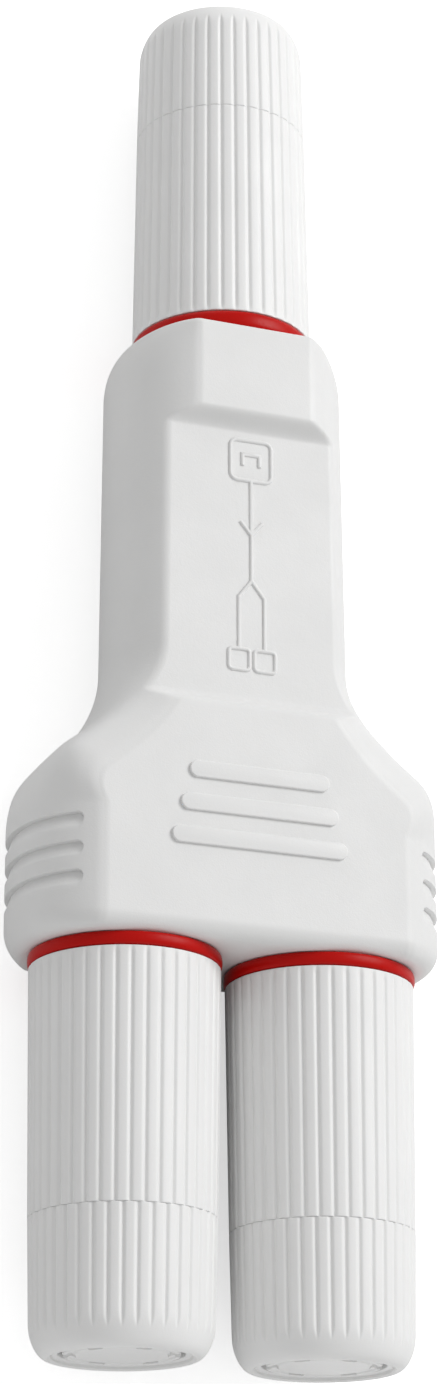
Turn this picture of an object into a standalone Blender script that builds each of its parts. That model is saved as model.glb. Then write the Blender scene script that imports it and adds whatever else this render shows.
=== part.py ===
"""Outdoor network power extender: one cable gland in at the top, two glands out at the bottom.

The part lies on its flat rear face. Metres, +Z out of the front face, +Y towards the
input gland, +X to the right. The origin is the bottom centre of the whole part.
Heights called "from the axes" are measured from the plane of the three gland axes.
"""
import math

import bmesh
import bpy
from mathutils import Matrix

# ---- Housing ---------------------------------------------------------------------------
BODY_LENGTH = 0.1013          # between the two end faces
HALF_DEPTH = 0.0155           # from the axes to the front flat, and to the rear flat
NECK_TOP_HALF = 0.01875       # half width of the neck at the input end
NECK_BASE_HALF = 0.0192       # half width of the neck where the flare starts
SHOULDER_HALF = 0.0337        # half width of the lower body
FLARE_TOP = -0.0041           # where the neck starts to flare
FLARE_ANGLE = math.radians(51.6)
HOLLOW_RADIUS = 0.0198        # concave arc at the top of the flare
SHOULDER_RADIUS = 0.0148      # convex arc at the shoulder
SIDE_CURVE_HEIGHT = 0.0175    # the side is a superellipse, cut off by the front and rear flats
SIDE_CURVE_DEPTH = 0.0192
SIDE_CURVE_POWER = 2.2
FLARE_CURVE_DEPTH = 0.0816    # the flare's section is fuller towards the front and rear edges
FLARE_CURVE_POWER = 6.8
CROWN_CORNER = (0.0044, 0.0080)   # corner rounding at the input end: across, along
BASE_CORNER = (0.0036, 0.0036)    # corner rounding at the output end
CROWN_EDGE = 0.0009           # rounding of the input end's front and rear edges
CROWN_LEAN = 0.0008           # draft of the input end face, at the front flat
BASE_EDGE = 0.0025
WALL = 0.0020
END_WALL = 0.0022
PARTING = -0.0125             # where the rear cover meets the housing, from the axes
NECK_CEILING = 0.0106         # inner face of the front wall behind the recess, from the axes
BAY_CEILING = 0.0133          # inner face of the front wall over the output jacks
BAY_WIDTH = 0.0420
BAY_SPAN = (-0.04755, -0.0278)
SEAL_GAP = 0.0001             # between flat faces that touch
RUN_GAP = 0.0003              # around pieces that turn or slide

# ---- Front and side details ------------------------------------------------------------
RECESS_FLOOR = 0.0127         # from the axes
RECESS_SPAN = (-0.0124, 0.0329)
RECESS_SLOPE = 0.0017         # how far each end step leans out over its height
BAR_TOP = -0.0253             # centre line of the highest raised bar
BAR_PITCH = 0.0052
BAR_HEIGHT = 0.0005
BAR_WIDTH = 0.0026
BAR_HALF_LENGTHS = (0.0112, 0.0126, 0.0140)
SLOT_TOP = -0.0344            # centre line of the highest side slot
SLOT_PITCH = 0.0044
SLOT_WIDTH = 0.0023
SLOT_DEPTH = 0.0006
SLOT_COUNT = 3
SLOT_SPAN = (0.0139, -0.0110)     # front and rear ends of a slot, from the axes

# ---- Ports: heights along a port's axis start at the body's end face ---------------------
PORT_PITCH = 0.0314
SPIGOT_RADIUS = 0.0116
SPIGOT_BORE = 0.0096
SPIGOT_LENGTH = 0.0140
GASKET_RADIUS = 0.0146
GASKET_BORE = 0.0121
GASKET_END = 0.0021
GASKET_STEPS = 36
EDGE_CUT = 0.0004             # edge cut of the small pieces
SLEEVE_START = 0.0022
SLEEVE_END = 0.0396
SLEEVE_BASE_RADIUS = 0.0144
SEAM_RADIUS = 0.01387
NOSE_RADIUS = 0.0110          # the sleeve's nose, which the cap screws onto
NOSE_END = 0.0506
NOSE_EDGE = 0.0005
SPIGOT_WAY_END = 0.0155       # of the sleeve's wide bore, past the spigot's end
CAGE_START = 0.0159
CAGE_END = 0.0504
CAGE_RADIUS = 0.0096
CAGE_BORE = 0.0083
FINGER_LENGTH = 0.0110        # of the cage's clamping fingers
SLIT_WIDTH = 0.0012           # between two fingers
SLIT_COUNT = 3                # each slit runs right across
GROMMET_START = 0.0270
GROMMET_END = 0.0556
GROMMET_RADIUS = 0.0080
GROMMET_WAIST = (0.0490, 0.0500)      # where it narrows, past the fingers
GROMMET_TIP_RADIUS = 0.0073
GROMMET_DRAFT = 0.0003        # of its tip
CABLE_BORE = 0.0031
WASHER_START = 0.0510
WASHER_END = 0.0518
WASHER_BORE = 0.0089          # wide enough to slide off past the blanking plug
CAP_END = 0.0597
CAP_FACE_RADIUS = 0.0134       # where the taper would meet the end plane
CAP_SHOULDER = (0.0028, 0.0060)    # rounding at the end: across, along
CAP_MOUTH_RADIUS = 0.0102
CAP_HOLE_RADIUS = 0.0092
PLUG_FACE = 0.0592
PLUG_RADIUS = 0.0086
PLUG_STEP = 0.00015            # from the plug's face to the ledge round it
PLUG_UNDERSIDE = 0.0562
STEM_END = 0.0350
CAP_SEAT_SLOPE = 0.0022        # length of the cone that presses on the slip washer
RIB_COUNT = 40
RIB_DEPTH = 0.0003
ROUND_STEPS = 24              # sides of the plain round pieces

# ---- Electronics and screws ------------------------------------------------------------
BOARD_TOP = -0.0069           # from the axes
BOARD_THICKNESS = 0.0016
BOARD_FLARE = ((0.0114, -0.0060), (0.0126, -0.0105), (0.0160, -0.0170), (0.0240, -0.0265),
               (0.0262, -0.0295))     # the board's right edge, from the neck to the full width
JACK_SIZE = (0.0156, 0.0206, 0.0132)
SHIELD_THICKNESS = 0.0003
SOCKET_SIZE = (0.0118, 0.0140, 0.0082)        # the hole for a plug, and the way for its latch
LATCH_SIZE = (0.0062, 0.0140, 0.0040)
CONTACT_COUNT = 8
CONTACT_PITCH = 0.00102
CONTACT_SIZE = (0.00045, 0.0080, 0.0004)
CONTACT_CARRIER = (0.0010, 0.0014)    # along the jack, and height
CONTACT_DEPTH = 0.0130        # of the carrier, from the mouth
CONTACT_HEIGHT = 0.0029       # of the contacts, from the jack's middle
BOARD_BLOCKS = (              # name, size, place along the board
    ("input_magnetics", (0.0108, 0.0070, 0.0052), 0.0166),
    ("power_transformer", (0.0120, 0.0115, 0.0092), 0.0020),
    ("switch_chip", (0.0090, 0.0090, 0.0011), -0.0120),
    ("output_magnetics", (0.0130, 0.0070, 0.0052), -0.0220),
)
BOARD_CANS = (                # name, radius, height, place along the board
    ("bulk_capacitor", 0.0031, 0.0090, -0.0315),
    ("power_inductor", 0.0034, 0.0045, -0.0390),
)
COVER_SCREWS = ((0.0070, 0.0243), (0.0175, -0.0237), (0.0054, -0.0450))
BOARD_SCREWS = ((0.0086, 0.0100), (0.0120, -0.0195))
COVER_SCREW_SEAT = -0.0140    # underside of a cover screw's head, from the axes
GROOVE_INSETS = (0.0005, 0.0015)      # the cover gasket's groove, from the outline
GROOVE_FLOOR = PARTING - 0.0008
GROOVE_CLEARANCE = 0.00015
BOSS_RADIUS = 0.0020
PILOT_RADIUS = 0.00105
COVER_PILOT_END = -0.0030     # from the axes
BOARD_PILOT_END = 0.0020
SCREW_RADIUS = 0.00095
SCREW_HEAD_RADIUS = 0.0019
SCREW_HEAD_HEIGHT = 0.0013
SCREW_STEPS = 12
COVER_SCREW_LENGTH = 0.0090
BOARD_SCREW_LENGTH = 0.0070
RECESS_CROSS = (0.00045, 0.0022, 0.0013)      # one arm of a screw's cross recess

HALF_LENGTH = BODY_LENGTH / 2
AXIS_Z = HALF_DEPTH
PORTS = {
    "input": (0.0, 1),
    "output_left": (-PORT_PITCH / 2, -1),
    "output_right": (PORT_PITCH / 2, -1),
}


# ---- Scene helpers ---------------------------------------------------------------------
def clear_scene():
    for obj in list(bpy.data.objects):
        bpy.data.objects.remove(obj, do_unlink=True)


def new_collection(name):
    collection = bpy.data.collections.new(name)
    bpy.context.scene.collection.children.link(collection)
    return collection


def move_to(obj, collection):
    for old in list(obj.users_collection):
        old.objects.unlink(obj)
    collection.objects.link(obj)


def material(name, color, roughness, metallic=0.0):
    mat = bpy.data.materials.new(name)
    mat.use_nodes = True
    shader = mat.node_tree.nodes["Principled BSDF"]
    shader.inputs["Base Color"].default_value = (*color, 1.0)
    shader.inputs["Roughness"].default_value = roughness
    shader.inputs["Metallic"].default_value = metallic
    return mat


def finish_part(obj, name, mat, parent=None):
    """Make an object one of the part's named pieces."""
    move_to(obj, parts)
    obj.name = name
    obj.data.materials.clear()
    obj.data.materials.append(mat)
    obj.data.shade_smooth()
    obj.data.set_sharp_from_angle(angle=math.radians(30))
    obj.parent = parent
    return obj


def copy_part(mesh, name, mat, parent):
    """Place a further copy of a repeated piece under its parent empty."""
    return finish_part(mesh_object(name, mesh), name, mat, parent)


def mesh_object(name, mesh):
    obj = bpy.data.objects.new(name, mesh)
    bpy.context.scene.collection.objects.link(obj)
    return obj


def boolean(obj, operation, tool):
    move_to(tool, cutters)
    tool.hide_render = True
    tool.display_type = "WIRE"
    modifier = obj.modifiers.new(tool.name, "BOOLEAN")
    modifier.operation = operation
    modifier.object = tool


def take_mesh(obj):
    """Return the object's finished mesh, and remove the object with the tools that cut it."""
    bpy.context.view_layer.update()
    graph = bpy.context.evaluated_depsgraph_get()
    mesh = bpy.data.meshes.new_from_object(obj.evaluated_get(graph))
    tools = [modifier.object for modifier in obj.modifiers if modifier.type == "BOOLEAN"]
    for used in [obj, *tools]:
        bpy.data.objects.remove(used, do_unlink=True)
    return mesh


# ---- Shape helpers ---------------------------------------------------------------------
def box(name, size, center):
    bpy.ops.mesh.primitive_cube_add(size=1, location=center)
    obj = bpy.context.object
    obj.name = name
    obj.data.transform(Matrix.Diagonal((*size, 1.0)))
    return obj


def beveled_box(name, size, center, width):
    obj = box(name, size, center)
    bevel = obj.modifiers.new("edges", "BEVEL")
    bevel.width = width
    bevel.segments = 1
    return obj


def cylinder(name, radius, z_low, z_high, xy=(0.0, 0.0), sides=ROUND_STEPS):
    bpy.ops.mesh.primitive_cylinder_add(
        vertices=sides, radius=radius, depth=z_high - z_low,
        location=(xy[0], xy[1], (z_low + z_high) / 2))
    obj = bpy.context.object
    obj.name = name
    return obj


def turned(name, profile, sides=ROUND_STEPS):
    """Turn (radius, height) points about Z. They run down the outer side, top to bottom.

    A profile that starts on the axis also ends on it; any other one is closed into a ring.
    """
    edges = [(i, i + 1) for i in range(len(profile) - 1)]
    if profile[0][0] > 0.0:
        edges.append((len(profile) - 1, 0))
    mesh = bpy.data.meshes.new(name)
    mesh.from_pydata([(radius, 0.0, height) for radius, height in profile], edges, [])
    obj = mesh_object(name, mesh)
    screw = obj.modifiers.new("turn", "SCREW")
    screw.steps = sides
    screw.render_steps = sides
    screw.use_merge_vertices = True
    screw.merge_threshold = 0.00001
    return obj


def plate(name, outline, z_low, z_high):
    """Extrude a flat outline of (x, y) points between two heights."""
    curve = bpy.data.curves.new(name, "CURVE")
    curve.dimensions = "2D"
    curve.fill_mode = "BOTH"
    curve.extrude = (z_high - z_low) / 2
    spline = curve.splines.new("POLY")
    spline.points.add(len(outline) - 1)
    for point, (x, y) in zip(spline.points, outline):
        point.co = (x, y, 0.0, 1.0)
    spline.use_cyclic_u = True
    mesh = take_mesh(mesh_object(name, curve))
    mesh.transform(Matrix.Translation((0.0, 0.0, (z_low + z_high) / 2)))
    bm = bmesh.new()
    bm.from_mesh(mesh)
    bmesh.ops.remove_doubles(bm, verts=bm.verts, dist=0.000001)
    bmesh.ops.recalc_face_normals(bm, faces=bm.faces)
    bm.to_mesh(mesh)
    bm.free()
    return mesh_object(name, mesh)


def loft(name, rings):
    """Skin closed rings of points, each with the same number of points, and close both ends."""
    bm = bmesh.new()
    rows = [[bm.verts.new(point) for point in ring] for ring in rings]
    count = len(rows[0])
    for row, following in zip(rows, rows[1:]):
        for i in range(count):
            j = (i + 1) % count
            bm.faces.new((row[i], row[j], following[j], following[i]))
    bm.faces.new(rows[0])
    bm.faces.new(rows[-1])
    bmesh.ops.recalc_face_normals(bm, faces=bm.faces)
    mesh = bpy.data.meshes.new(name)
    bm.to_mesh(mesh)
    bm.free()
    return mesh_object(name, mesh)


# ---- The housing's outer form ------------------------------------------------------------
def superellipse_drop(z, depth, power):
    share = abs(z / SIDE_CURVE_HEIGHT) ** power
    return depth * (1 - (1 - share) ** (1 / power))


def side_inset(z, slant=0.0):
    """How far the side has curved in from the outline at height z from the axes.

    The slant is the sine of the outline's angle to the long axis: 0 beside the neck and the
    lower body, and most in the middle of the flare.
    """
    plain = superellipse_drop(z, SIDE_CURVE_DEPTH, SIDE_CURVE_POWER)
    full = superellipse_drop(z, FLARE_CURVE_DEPTH, FLARE_CURVE_POWER)
    share = slant / math.sin(FLARE_ANGLE)
    return plain + (full - plain) * share * share * (3 - 2 * share)


def quarter_drop(distance, length, drop):
    """Drop of a quarter ellipse at a distance along it."""
    share = min(max(distance / length, 0.0), 1.0)
    return drop * (1 - math.sqrt(1 - share * share))


def end_rounding(y):
    """How far the side and the front and rear have rounded in at y."""
    corner, edge = (CROWN_CORNER, CROWN_EDGE) if y > 0 else (BASE_CORNER, BASE_EDGE)
    across, along = corner
    side = quarter_drop(abs(y) - (HALF_LENGTH - along), along, across)
    depth = quarter_drop(abs(y) - (HALF_LENGTH - edge), edge, edge)
    return side, depth


def neck_half(y):
    share = (y - FLARE_TOP) / (HALF_LENGTH - FLARE_TOP)
    return NECK_BASE_HALF + (NECK_TOP_HALF - NECK_BASE_HALF) * share


def outline_stations(end_gap):
    """Points (x, y) and outward directions (nx, ny) down the right side, input end first."""
    end = HALF_LENGTH - end_gap
    corner_angles = [math.radians(a) for a in (79, 63, 40, 0)]
    crown_start = HALF_LENGTH - CROWN_CORNER[1]
    ys = [end] + [crown_start + CROWN_CORNER[1] * math.sin(a) for a in corner_angles]
    stations = [(neck_half(y), y, 1.0, 0.0) for y in ys if y <= end]
    hollow_x = NECK_BASE_HALF + HOLLOW_RADIUS
    for step in range(7):
        angle = FLARE_ANGLE * step / 6
        stations.append((hollow_x - HOLLOW_RADIUS * math.cos(angle),
                         FLARE_TOP - HOLLOW_RADIUS * math.sin(angle),
                         math.cos(angle), math.sin(angle)))
    x, y, nx, ny = stations[-1]
    shoulder_x = SHOULDER_HALF - SHOULDER_RADIUS
    run = (shoulder_x + SHOULDER_RADIUS * nx - x) / ny
    shoulder_y = y - run * nx - SHOULDER_RADIUS * ny
    for step in range(6):
        angle = FLARE_ANGLE * (1 - step / 5)
        stations.append((shoulder_x + SHOULDER_RADIUS * math.cos(angle),
                         shoulder_y + SHOULDER_RADIUS * math.sin(angle),
                         math.cos(angle), math.sin(angle)))
    base_start = HALF_LENGTH - BASE_CORNER[1]
    ys = [-(base_start + BASE_CORNER[1] * math.sin(a)) for a in reversed(corner_angles)]
    stations += [(SHOULDER_HALF, y, 1.0, 0.0) for y in ys + [-end] if y >= -end]
    return stations


def squeezed(z, depth_cut):
    """Height z after the front and rear edges' rounding; the parting plane stays put."""
    if z > 0:
        return z * (HALF_DEPTH - depth_cut) / HALF_DEPTH
    if z < PARTING:
        cover = HALF_DEPTH + PARTING
        return PARTING + (z - PARTING) * (cover - depth_cut) / cover
    return z


def crown_lean(y, z):
    """How far the input end leans back at a point, for draft of its front half."""
    share = min(max((y - HALF_LENGTH) / CROWN_CORNER[1] + 1, 0.0), 1.0)
    return CROWN_LEAN * max(z, 0.0) / HALF_DEPTH * share * share * (3 - 2 * share)


def body_form(name, inset, end_gap, levels, leaning=False):
    """The housing's form, drawn in by inset, between the lowest and highest of its levels."""
    rings = []
    for x, y, nx, ny in outline_stations(end_gap):
        side_cut, depth_cut = end_rounding(y)
        flat_inset = side_inset(HALF_DEPTH, ny)
        keep = 1 - side_cut / (flat_inset * nx)
        right = []
        for z in levels:
            off = inset + side_inset(z, ny)
            flat_x = x - (inset + flat_inset) * nx
            point_x = flat_x + (x - off * nx - flat_x) * keep
            height = squeezed(z, depth_cut)
            lean = crown_lean(y, height) if leaning else 0.0
            right.append((point_x, y - off * ny - lean, AXIS_Z + height))
        rings.append(right + [(-px, py, pz) for px, py, pz in reversed(right)])
    return loft(name, rings)


def side_slot(name, y, sign):
    """A cutter for one slot, which follows the side and has round ends."""
    front, rear = SLOT_SPAN
    steps = 14
    heights = [rear + (front - rear) * math.sin(math.pi / 2 * i / steps) for i in range(steps + 1)]
    spine = [(SHOULDER_HALF - side_inset(z), z) for z in heights]
    walked = [0.0]
    for (x0, z0), (x1, z1) in zip(spine, spine[1:]):
        walked.append(walked[-1] + math.hypot(x1 - x0, z1 - z0))
    half = SLOT_WIDTH / 2
    rings = []
    for i, (x, z) in enumerate(spine):
        before, after = spine[max(i - 1, 0)], spine[min(i + 1, steps)]
        tangent = (after[0] - before[0], after[1] - before[1])
        length = math.hypot(*tangent)
        nx, nz = tangent[1] / length, -tangent[0] / length
        from_end = min(walked[i], walked[-1] - walked[i]) + 0.1 * half
        reach = math.sqrt(half * half - max(half - from_end, 0.0) ** 2)
        ring = []
        for off, dy in ((-SLOT_DEPTH, -reach), (-SLOT_DEPTH, reach), (half, reach), (half, -reach)):
            ring.append((sign * (x + off * nx), y + dy, AXIS_Z + z + off * nz))
        rings.append(ring)
    return loft(name, rings)


def raised_bar(name, y, half_length):
    half = BAR_WIDTH / 2
    outline = []
    for sign in (1, -1):
        for step in range(7):
            angle = math.radians(-90 + 30 * step)
            outline.append((sign * (half_length - half + half * math.cos(angle)),
                            y + sign * half * math.sin(angle)))
    return plate(name, outline, AXIS_Z + HALF_DEPTH - BAR_HEIGHT, AXIS_Z + HALF_DEPTH + BAR_HEIGHT)


def recess_cutter():
    """A block over the front of the neck whose end faces lean outwards."""
    low, high = RECESS_SPAN
    depth = HALF_DEPTH - RECESS_FLOOR
    lean = RECESS_SLOPE * 2
    bottom, top = AXIS_Z + RECESS_FLOOR, AXIS_Z + RECESS_FLOOR + 2 * depth
    rings = []
    for x in (-SHOULDER_HALF, SHOULDER_HALF):
        rings.append([(x, low, bottom), (x, high, bottom), (x, high + lean, top),
                      (x, low - lean, top)])
    return loft("recess_cut", rings)


def mirrored_places(places):
    return [(sign * x, y) for x, y in places for sign in (-1, 1)]


# ---- Housing and cover ------------------------------------------------------------------
TUB_LEVELS = (PARTING, -0.0095, -0.0055, 0.0, 0.0050, 0.0085, 0.0110, 0.0127, 0.0143, HALF_DEPTH)
COVER_LEVELS = (-HALF_DEPTH, -0.0145, -0.0135, PARTING - SEAL_GAP)
CAVITY_LEVELS = (PARTING - 0.0010, -0.0080, 0.0, 0.0060, NECK_CEILING)


def point_along_port(obj, x, sign):
    obj.location = (x, sign * HALF_LENGTH, AXIS_Z)
    obj.rotation_euler = (-sign * math.pi / 2, 0.0, 0.0)
    return obj


def add_bosses(housing):
    """Screw bosses that hang from the front wall, with their pilot holes."""
    board_face = AXIS_Z + BOARD_TOP + SEAL_GAP
    for index, (x, y) in enumerate(mirrored_places(COVER_SCREWS)):
        ceiling = BAY_CEILING if y < BAY_SPAN[1] else NECK_CEILING
        boss = cylinder(f"cover_boss_{index}", BOSS_RADIUS, AXIS_Z + PARTING,
                        AXIS_Z + ceiling + WALL / 2, (x, y), SCREW_STEPS)
        boolean(housing, "UNION", boss)
        hole = cylinder(f"cover_pilot_{index}", PILOT_RADIUS, AXIS_Z + PARTING - WALL,
                        AXIS_Z + COVER_PILOT_END, (x, y), SCREW_STEPS)
        boolean(housing, "DIFFERENCE", hole)
    for index, (x, y) in enumerate(mirrored_places(BOARD_SCREWS)):
        boss = cylinder(f"board_boss_{index}", BOSS_RADIUS, board_face,
                        AXIS_Z + NECK_CEILING + WALL / 2, (x, y), SCREW_STEPS)
        boolean(housing, "UNION", boss)
        hole = cylinder(f"board_pilot_{index}", PILOT_RADIUS, board_face - WALL,
                        AXIS_Z + BOARD_PILOT_END, (x, y), SCREW_STEPS)
        boolean(housing, "DIFFERENCE", hole)


def add_spigots(housing):
    """Threaded stubs that the gland sleeves screw onto, with the way through to the jacks."""
    chamfer = 0.0005
    for port, (x, sign) in PORTS.items():
        stub = turned(f"{port}_spigot", [
            (0.0, SPIGOT_LENGTH), (SPIGOT_RADIUS - chamfer, SPIGOT_LENGTH),
            (SPIGOT_RADIUS, SPIGOT_LENGTH - chamfer), (SPIGOT_RADIUS, -END_WALL / 2),
            (0.0, -END_WALL / 2)])
        boolean(housing, "UNION", point_along_port(stub, x, sign))
        bore = turned(f"{port}_bore", [
            (0.0, SPIGOT_LENGTH + WALL), (SPIGOT_BORE, SPIGOT_LENGTH + WALL),
            (SPIGOT_BORE, -2 * END_WALL), (0.0, -2 * END_WALL)])
        boolean(housing, "DIFFERENCE", point_along_port(bore, x, sign))


def make_housing():
    housing = body_form("housing", 0.0, 0.0, TUB_LEVELS, leaning=True)
    boolean(housing, "DIFFERENCE", body_form("cavity", WALL, END_WALL, CAVITY_LEVELS))
    bay_low, bay_high = BAY_SPAN
    bay = box("jack_bay", (BAY_WIDTH, bay_high - bay_low, BAY_CEILING),
              (0.0, (bay_low + bay_high) / 2, AXIS_Z + BAY_CEILING / 2))
    boolean(housing, "DIFFERENCE", bay)
    boolean(housing, "DIFFERENCE", recess_cutter())
    add_bosses(housing)
    add_spigots(housing)
    for index, half_length in enumerate(BAR_HALF_LENGTHS):
        boolean(housing, "UNION", raised_bar(f"bar_{index}", BAR_TOP - index * BAR_PITCH, half_length))
    for index in range(SLOT_COUNT):
        for side, sign in (("left", -1), ("right", 1)):
            slot = side_slot(f"slot_{side}_{index}", SLOT_TOP - index * SLOT_PITCH, sign)
            boolean(housing, "DIFFERENCE", slot)
    finish_part(mesh_object("housing", take_mesh(housing)), "housing", white_plastic)


def ring_form(name, insets, levels):
    outer, inner = insets
    ring = body_form(name, outer, outer, levels)
    reach = 0.0005
    tall = (levels[0] - reach, levels[-1] + reach)
    boolean(ring, "DIFFERENCE", body_form(f"{name}_inside", inner, inner, tall))
    return ring


def make_cover():
    cover = body_form("rear_cover", 0.0, 0.0, COVER_LEVELS)
    groove = ring_form("groove", GROOVE_INSETS, (GROOVE_FLOOR, PARTING + 0.0005))
    boolean(cover, "DIFFERENCE", mesh_object("groove_cut", take_mesh(groove)))
    for index, (x, y) in enumerate(mirrored_places(COVER_SCREWS)):
        through = cylinder(f"screw_way_{index}", PILOT_RADIUS + SEAL_GAP, -WALL,
                           AXIS_Z + PARTING + WALL, (x, y), SCREW_STEPS)
        boolean(cover, "DIFFERENCE", through)
        seat = cylinder(f"screw_seat_{index}", SCREW_HEAD_RADIUS + RUN_GAP, -WALL,
                        AXIS_Z + COVER_SCREW_SEAT + SEAL_GAP / 2, (x, y), 2 * SCREW_STEPS)
        boolean(cover, "DIFFERENCE", seat)
    finish_part(mesh_object("rear_cover", take_mesh(cover)), "rear_cover", white_plastic)

    insets = (GROOVE_INSETS[0] + GROOVE_CLEARANCE, GROOVE_INSETS[1] - GROOVE_CLEARANCE)
    seal = ring_form("cover_gasket", insets, (GROOVE_FLOOR + SEAL_GAP / 2, PARTING - SEAL_GAP / 2))
    finish_part(mesh_object("cover_gasket", take_mesh(seal)), "cover_gasket", red_rubber)


def screw_mesh(length):
    """A pan-head screw pointing up, with the underside of its head at height 0."""
    tip = 0.0006
    crown = 0.0004
    screw = turned("screw", [
        (0.0, length), (SCREW_RADIUS - tip / 2, length), (SCREW_RADIUS, length - tip),
        (SCREW_RADIUS, 0.0), (SCREW_HEAD_RADIUS, 0.0),
        (SCREW_HEAD_RADIUS, crown - SCREW_HEAD_HEIGHT),
        (SCREW_HEAD_RADIUS - crown, -SCREW_HEAD_HEIGHT), (0.0, -SCREW_HEAD_HEIGHT)], SCREW_STEPS)
    width, length, depth = RECESS_CROSS
    for size in ((width, length, depth), (length, width, depth)):
        boolean(screw, "DIFFERENCE", box("cross_arm", size, (0.0, 0.0, -SCREW_HEAD_HEIGHT)))
    return take_mesh(screw)


def make_screws():
    sets = (
        ("cover_screw", mirrored_places(COVER_SCREWS), AXIS_Z + COVER_SCREW_SEAT, COVER_SCREW_LENGTH),
        ("board_screw", mirrored_places(BOARD_SCREWS),
         AXIS_Z + BOARD_TOP - BOARD_THICKNESS - SEAL_GAP, BOARD_SCREW_LENGTH),
    )
    for name, places, seat, length in sets:
        mesh = screw_mesh(length)
        for index, (x, y) in enumerate(places, start=1):
            screw = copy_part(mesh, f"{name}_{index}", steel, None)
            screw.location = (x, y, seat)


# ---- Electronics -----------------------------------------------------------------------
def make_board():
    end = HALF_LENGTH - END_WALL - RUN_GAP
    right = [(BOARD_FLARE[0][0], end), *BOARD_FLARE, (BOARD_FLARE[-1][0], -end)]
    outline = right + [(-x, y) for x, y in reversed(right)]
    bottom = AXIS_Z + BOARD_TOP - BOARD_THICKNESS
    board = plate("circuit_board", outline, bottom, AXIS_Z + BOARD_TOP)
    ways = [(place, BOSS_RADIUS + RUN_GAP) for place in mirrored_places(COVER_SCREWS)]
    ways += [(place, PILOT_RADIUS + SEAL_GAP) for place in mirrored_places(BOARD_SCREWS)]
    for index, (place, radius) in enumerate(ways):
        way = cylinder(f"board_way_{index}", radius, bottom - WALL, AXIS_Z, place, SCREW_STEPS)
        boolean(board, "DIFFERENCE", way)
    finish_part(mesh_object("circuit_board", take_mesh(board)), "circuit_board", board_green)


def jack_shell_mesh():
    """The jack's insulator, with the socket for a plug and its latch. +Y is the mouth."""
    width, length, height = JACK_SIZE
    skin = SHIELD_THICKNESS + RUN_GAP
    shell = box("jack_shell", (width - 2 * skin, length - skin, height - skin),
                (0.0, skin / 2, -skin / 2))
    for name, (across, deep, high), z in (("socket", SOCKET_SIZE, 0.0),
                                          ("latch_way", LATCH_SIZE, -SOCKET_SIZE[2] / 2)):
        hole = box(name, (across, 2 * deep, high), (0.0, length / 2, z))
        boolean(shell, "DIFFERENCE", hole)
    return take_mesh(shell)


def jack_shield_mesh():
    """A folded metal shell, open at the mouth and underneath."""
    width, length, height = JACK_SIZE
    skin = SHIELD_THICKNESS
    shield = box("jack_shield", JACK_SIZE, (0.0, 0.0, 0.0))
    inside = box("shield_inside", (width - 2 * skin, length, height), (0.0, skin, -skin))
    boolean(shield, "DIFFERENCE", inside)
    return take_mesh(shield)


def jack_contacts_mesh():
    """Spring contacts on one carrier, in the top of the socket."""
    carrier_y = JACK_SIZE[1] / 2 - CONTACT_DEPTH
    along, height = CONTACT_CARRIER
    comb = box("jack_contacts", ((CONTACT_COUNT + 1) * CONTACT_PITCH, along, height),
               (0.0, carrier_y, CONTACT_HEIGHT))
    for index in range(CONTACT_COUNT):
        x = (index - (CONTACT_COUNT - 1) / 2) * CONTACT_PITCH
        finger = box(f"contact_{index}", CONTACT_SIZE,
                     (x, carrier_y + CONTACT_SIZE[1] / 2, CONTACT_HEIGHT))
        boolean(comb, "UNION", finger)
    return take_mesh(comb)


def make_jacks():
    pieces = (("jack", jack_shell_mesh(), dark_plastic), ("jack_shield", jack_shield_mesh(), steel),
              ("jack_contacts", jack_contacts_mesh(), gold))
    reach = HALF_LENGTH - END_WALL - RUN_GAP - JACK_SIZE[1] / 2
    for port, (x, sign) in PORTS.items():
        for name, mesh, mat in pieces:
            piece = copy_part(mesh, f"{port}_{name}", mat, None)
            piece.location = (x, sign * reach, AXIS_Z + BOARD_TOP + SEAL_GAP + JACK_SIZE[2] / 2)
            piece.rotation_euler = (0.0, 0.0, 0.0 if sign > 0 else math.pi)


def make_components():
    floor = AXIS_Z + BOARD_TOP + SEAL_GAP
    for name, size, y in BOARD_BLOCKS:
        block = beveled_box(name, size, (0.0, y, floor + size[2] / 2), EDGE_CUT)
        finish_part(block, name, dark_plastic)
    for (name, radius, height, y), mat in zip(BOARD_CANS, (steel, dark_plastic)):
        can = turned(name, [(0.0, height), (radius - EDGE_CUT, height),
                            (radius, height - EDGE_CUT), (radius, 0.0), (0.0, 0.0)],
                     2 * SCREW_STEPS)
        can.location = (0.0, y, floor)
        finish_part(can, name, mat)


# ---- Glands: each is modelled with +Z pointing out of the port ---------------------------
def ribbed_blank(name, rings):
    """A round blank with ribs along it, from (height, radius, groove depth) rings."""
    lobes = ((0.00, 0.0), (0.60, 0.0), (0.80, 1.0))
    stack = []
    for height, radius, groove in rings:
        ring = []
        for rib in range(RIB_COUNT):
            for share, depth in lobes:
                angle = 2 * math.pi * (rib + share) / RIB_COUNT
                reach = radius - groove * depth
                ring.append((reach * math.cos(angle), reach * math.sin(angle), height))
        stack.append(ring)
    return loft(name, stack)


def gasket_mesh(lean):
    """Gasket between the body and a sleeve. With a lean, its front half thickens to follow it."""
    start = SEAL_GAP / 2
    mesh = take_mesh(turned("gasket", [
        (GASKET_RADIUS - EDGE_CUT, GASKET_END), (GASKET_RADIUS, GASKET_END - EDGE_CUT),
        (GASKET_RADIUS, start + EDGE_CUT), (GASKET_RADIUS - EDGE_CUT, start),
        (GASKET_BORE, start), (GASKET_BORE, GASKET_END)], GASKET_STEPS))
    for vertex in mesh.vertices:
        low = (GASKET_END - vertex.co.z) / (GASKET_END - start)
        vertex.co.z -= low * lean * max(-vertex.co.y, 0.0) / HALF_DEPTH
    return mesh


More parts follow.
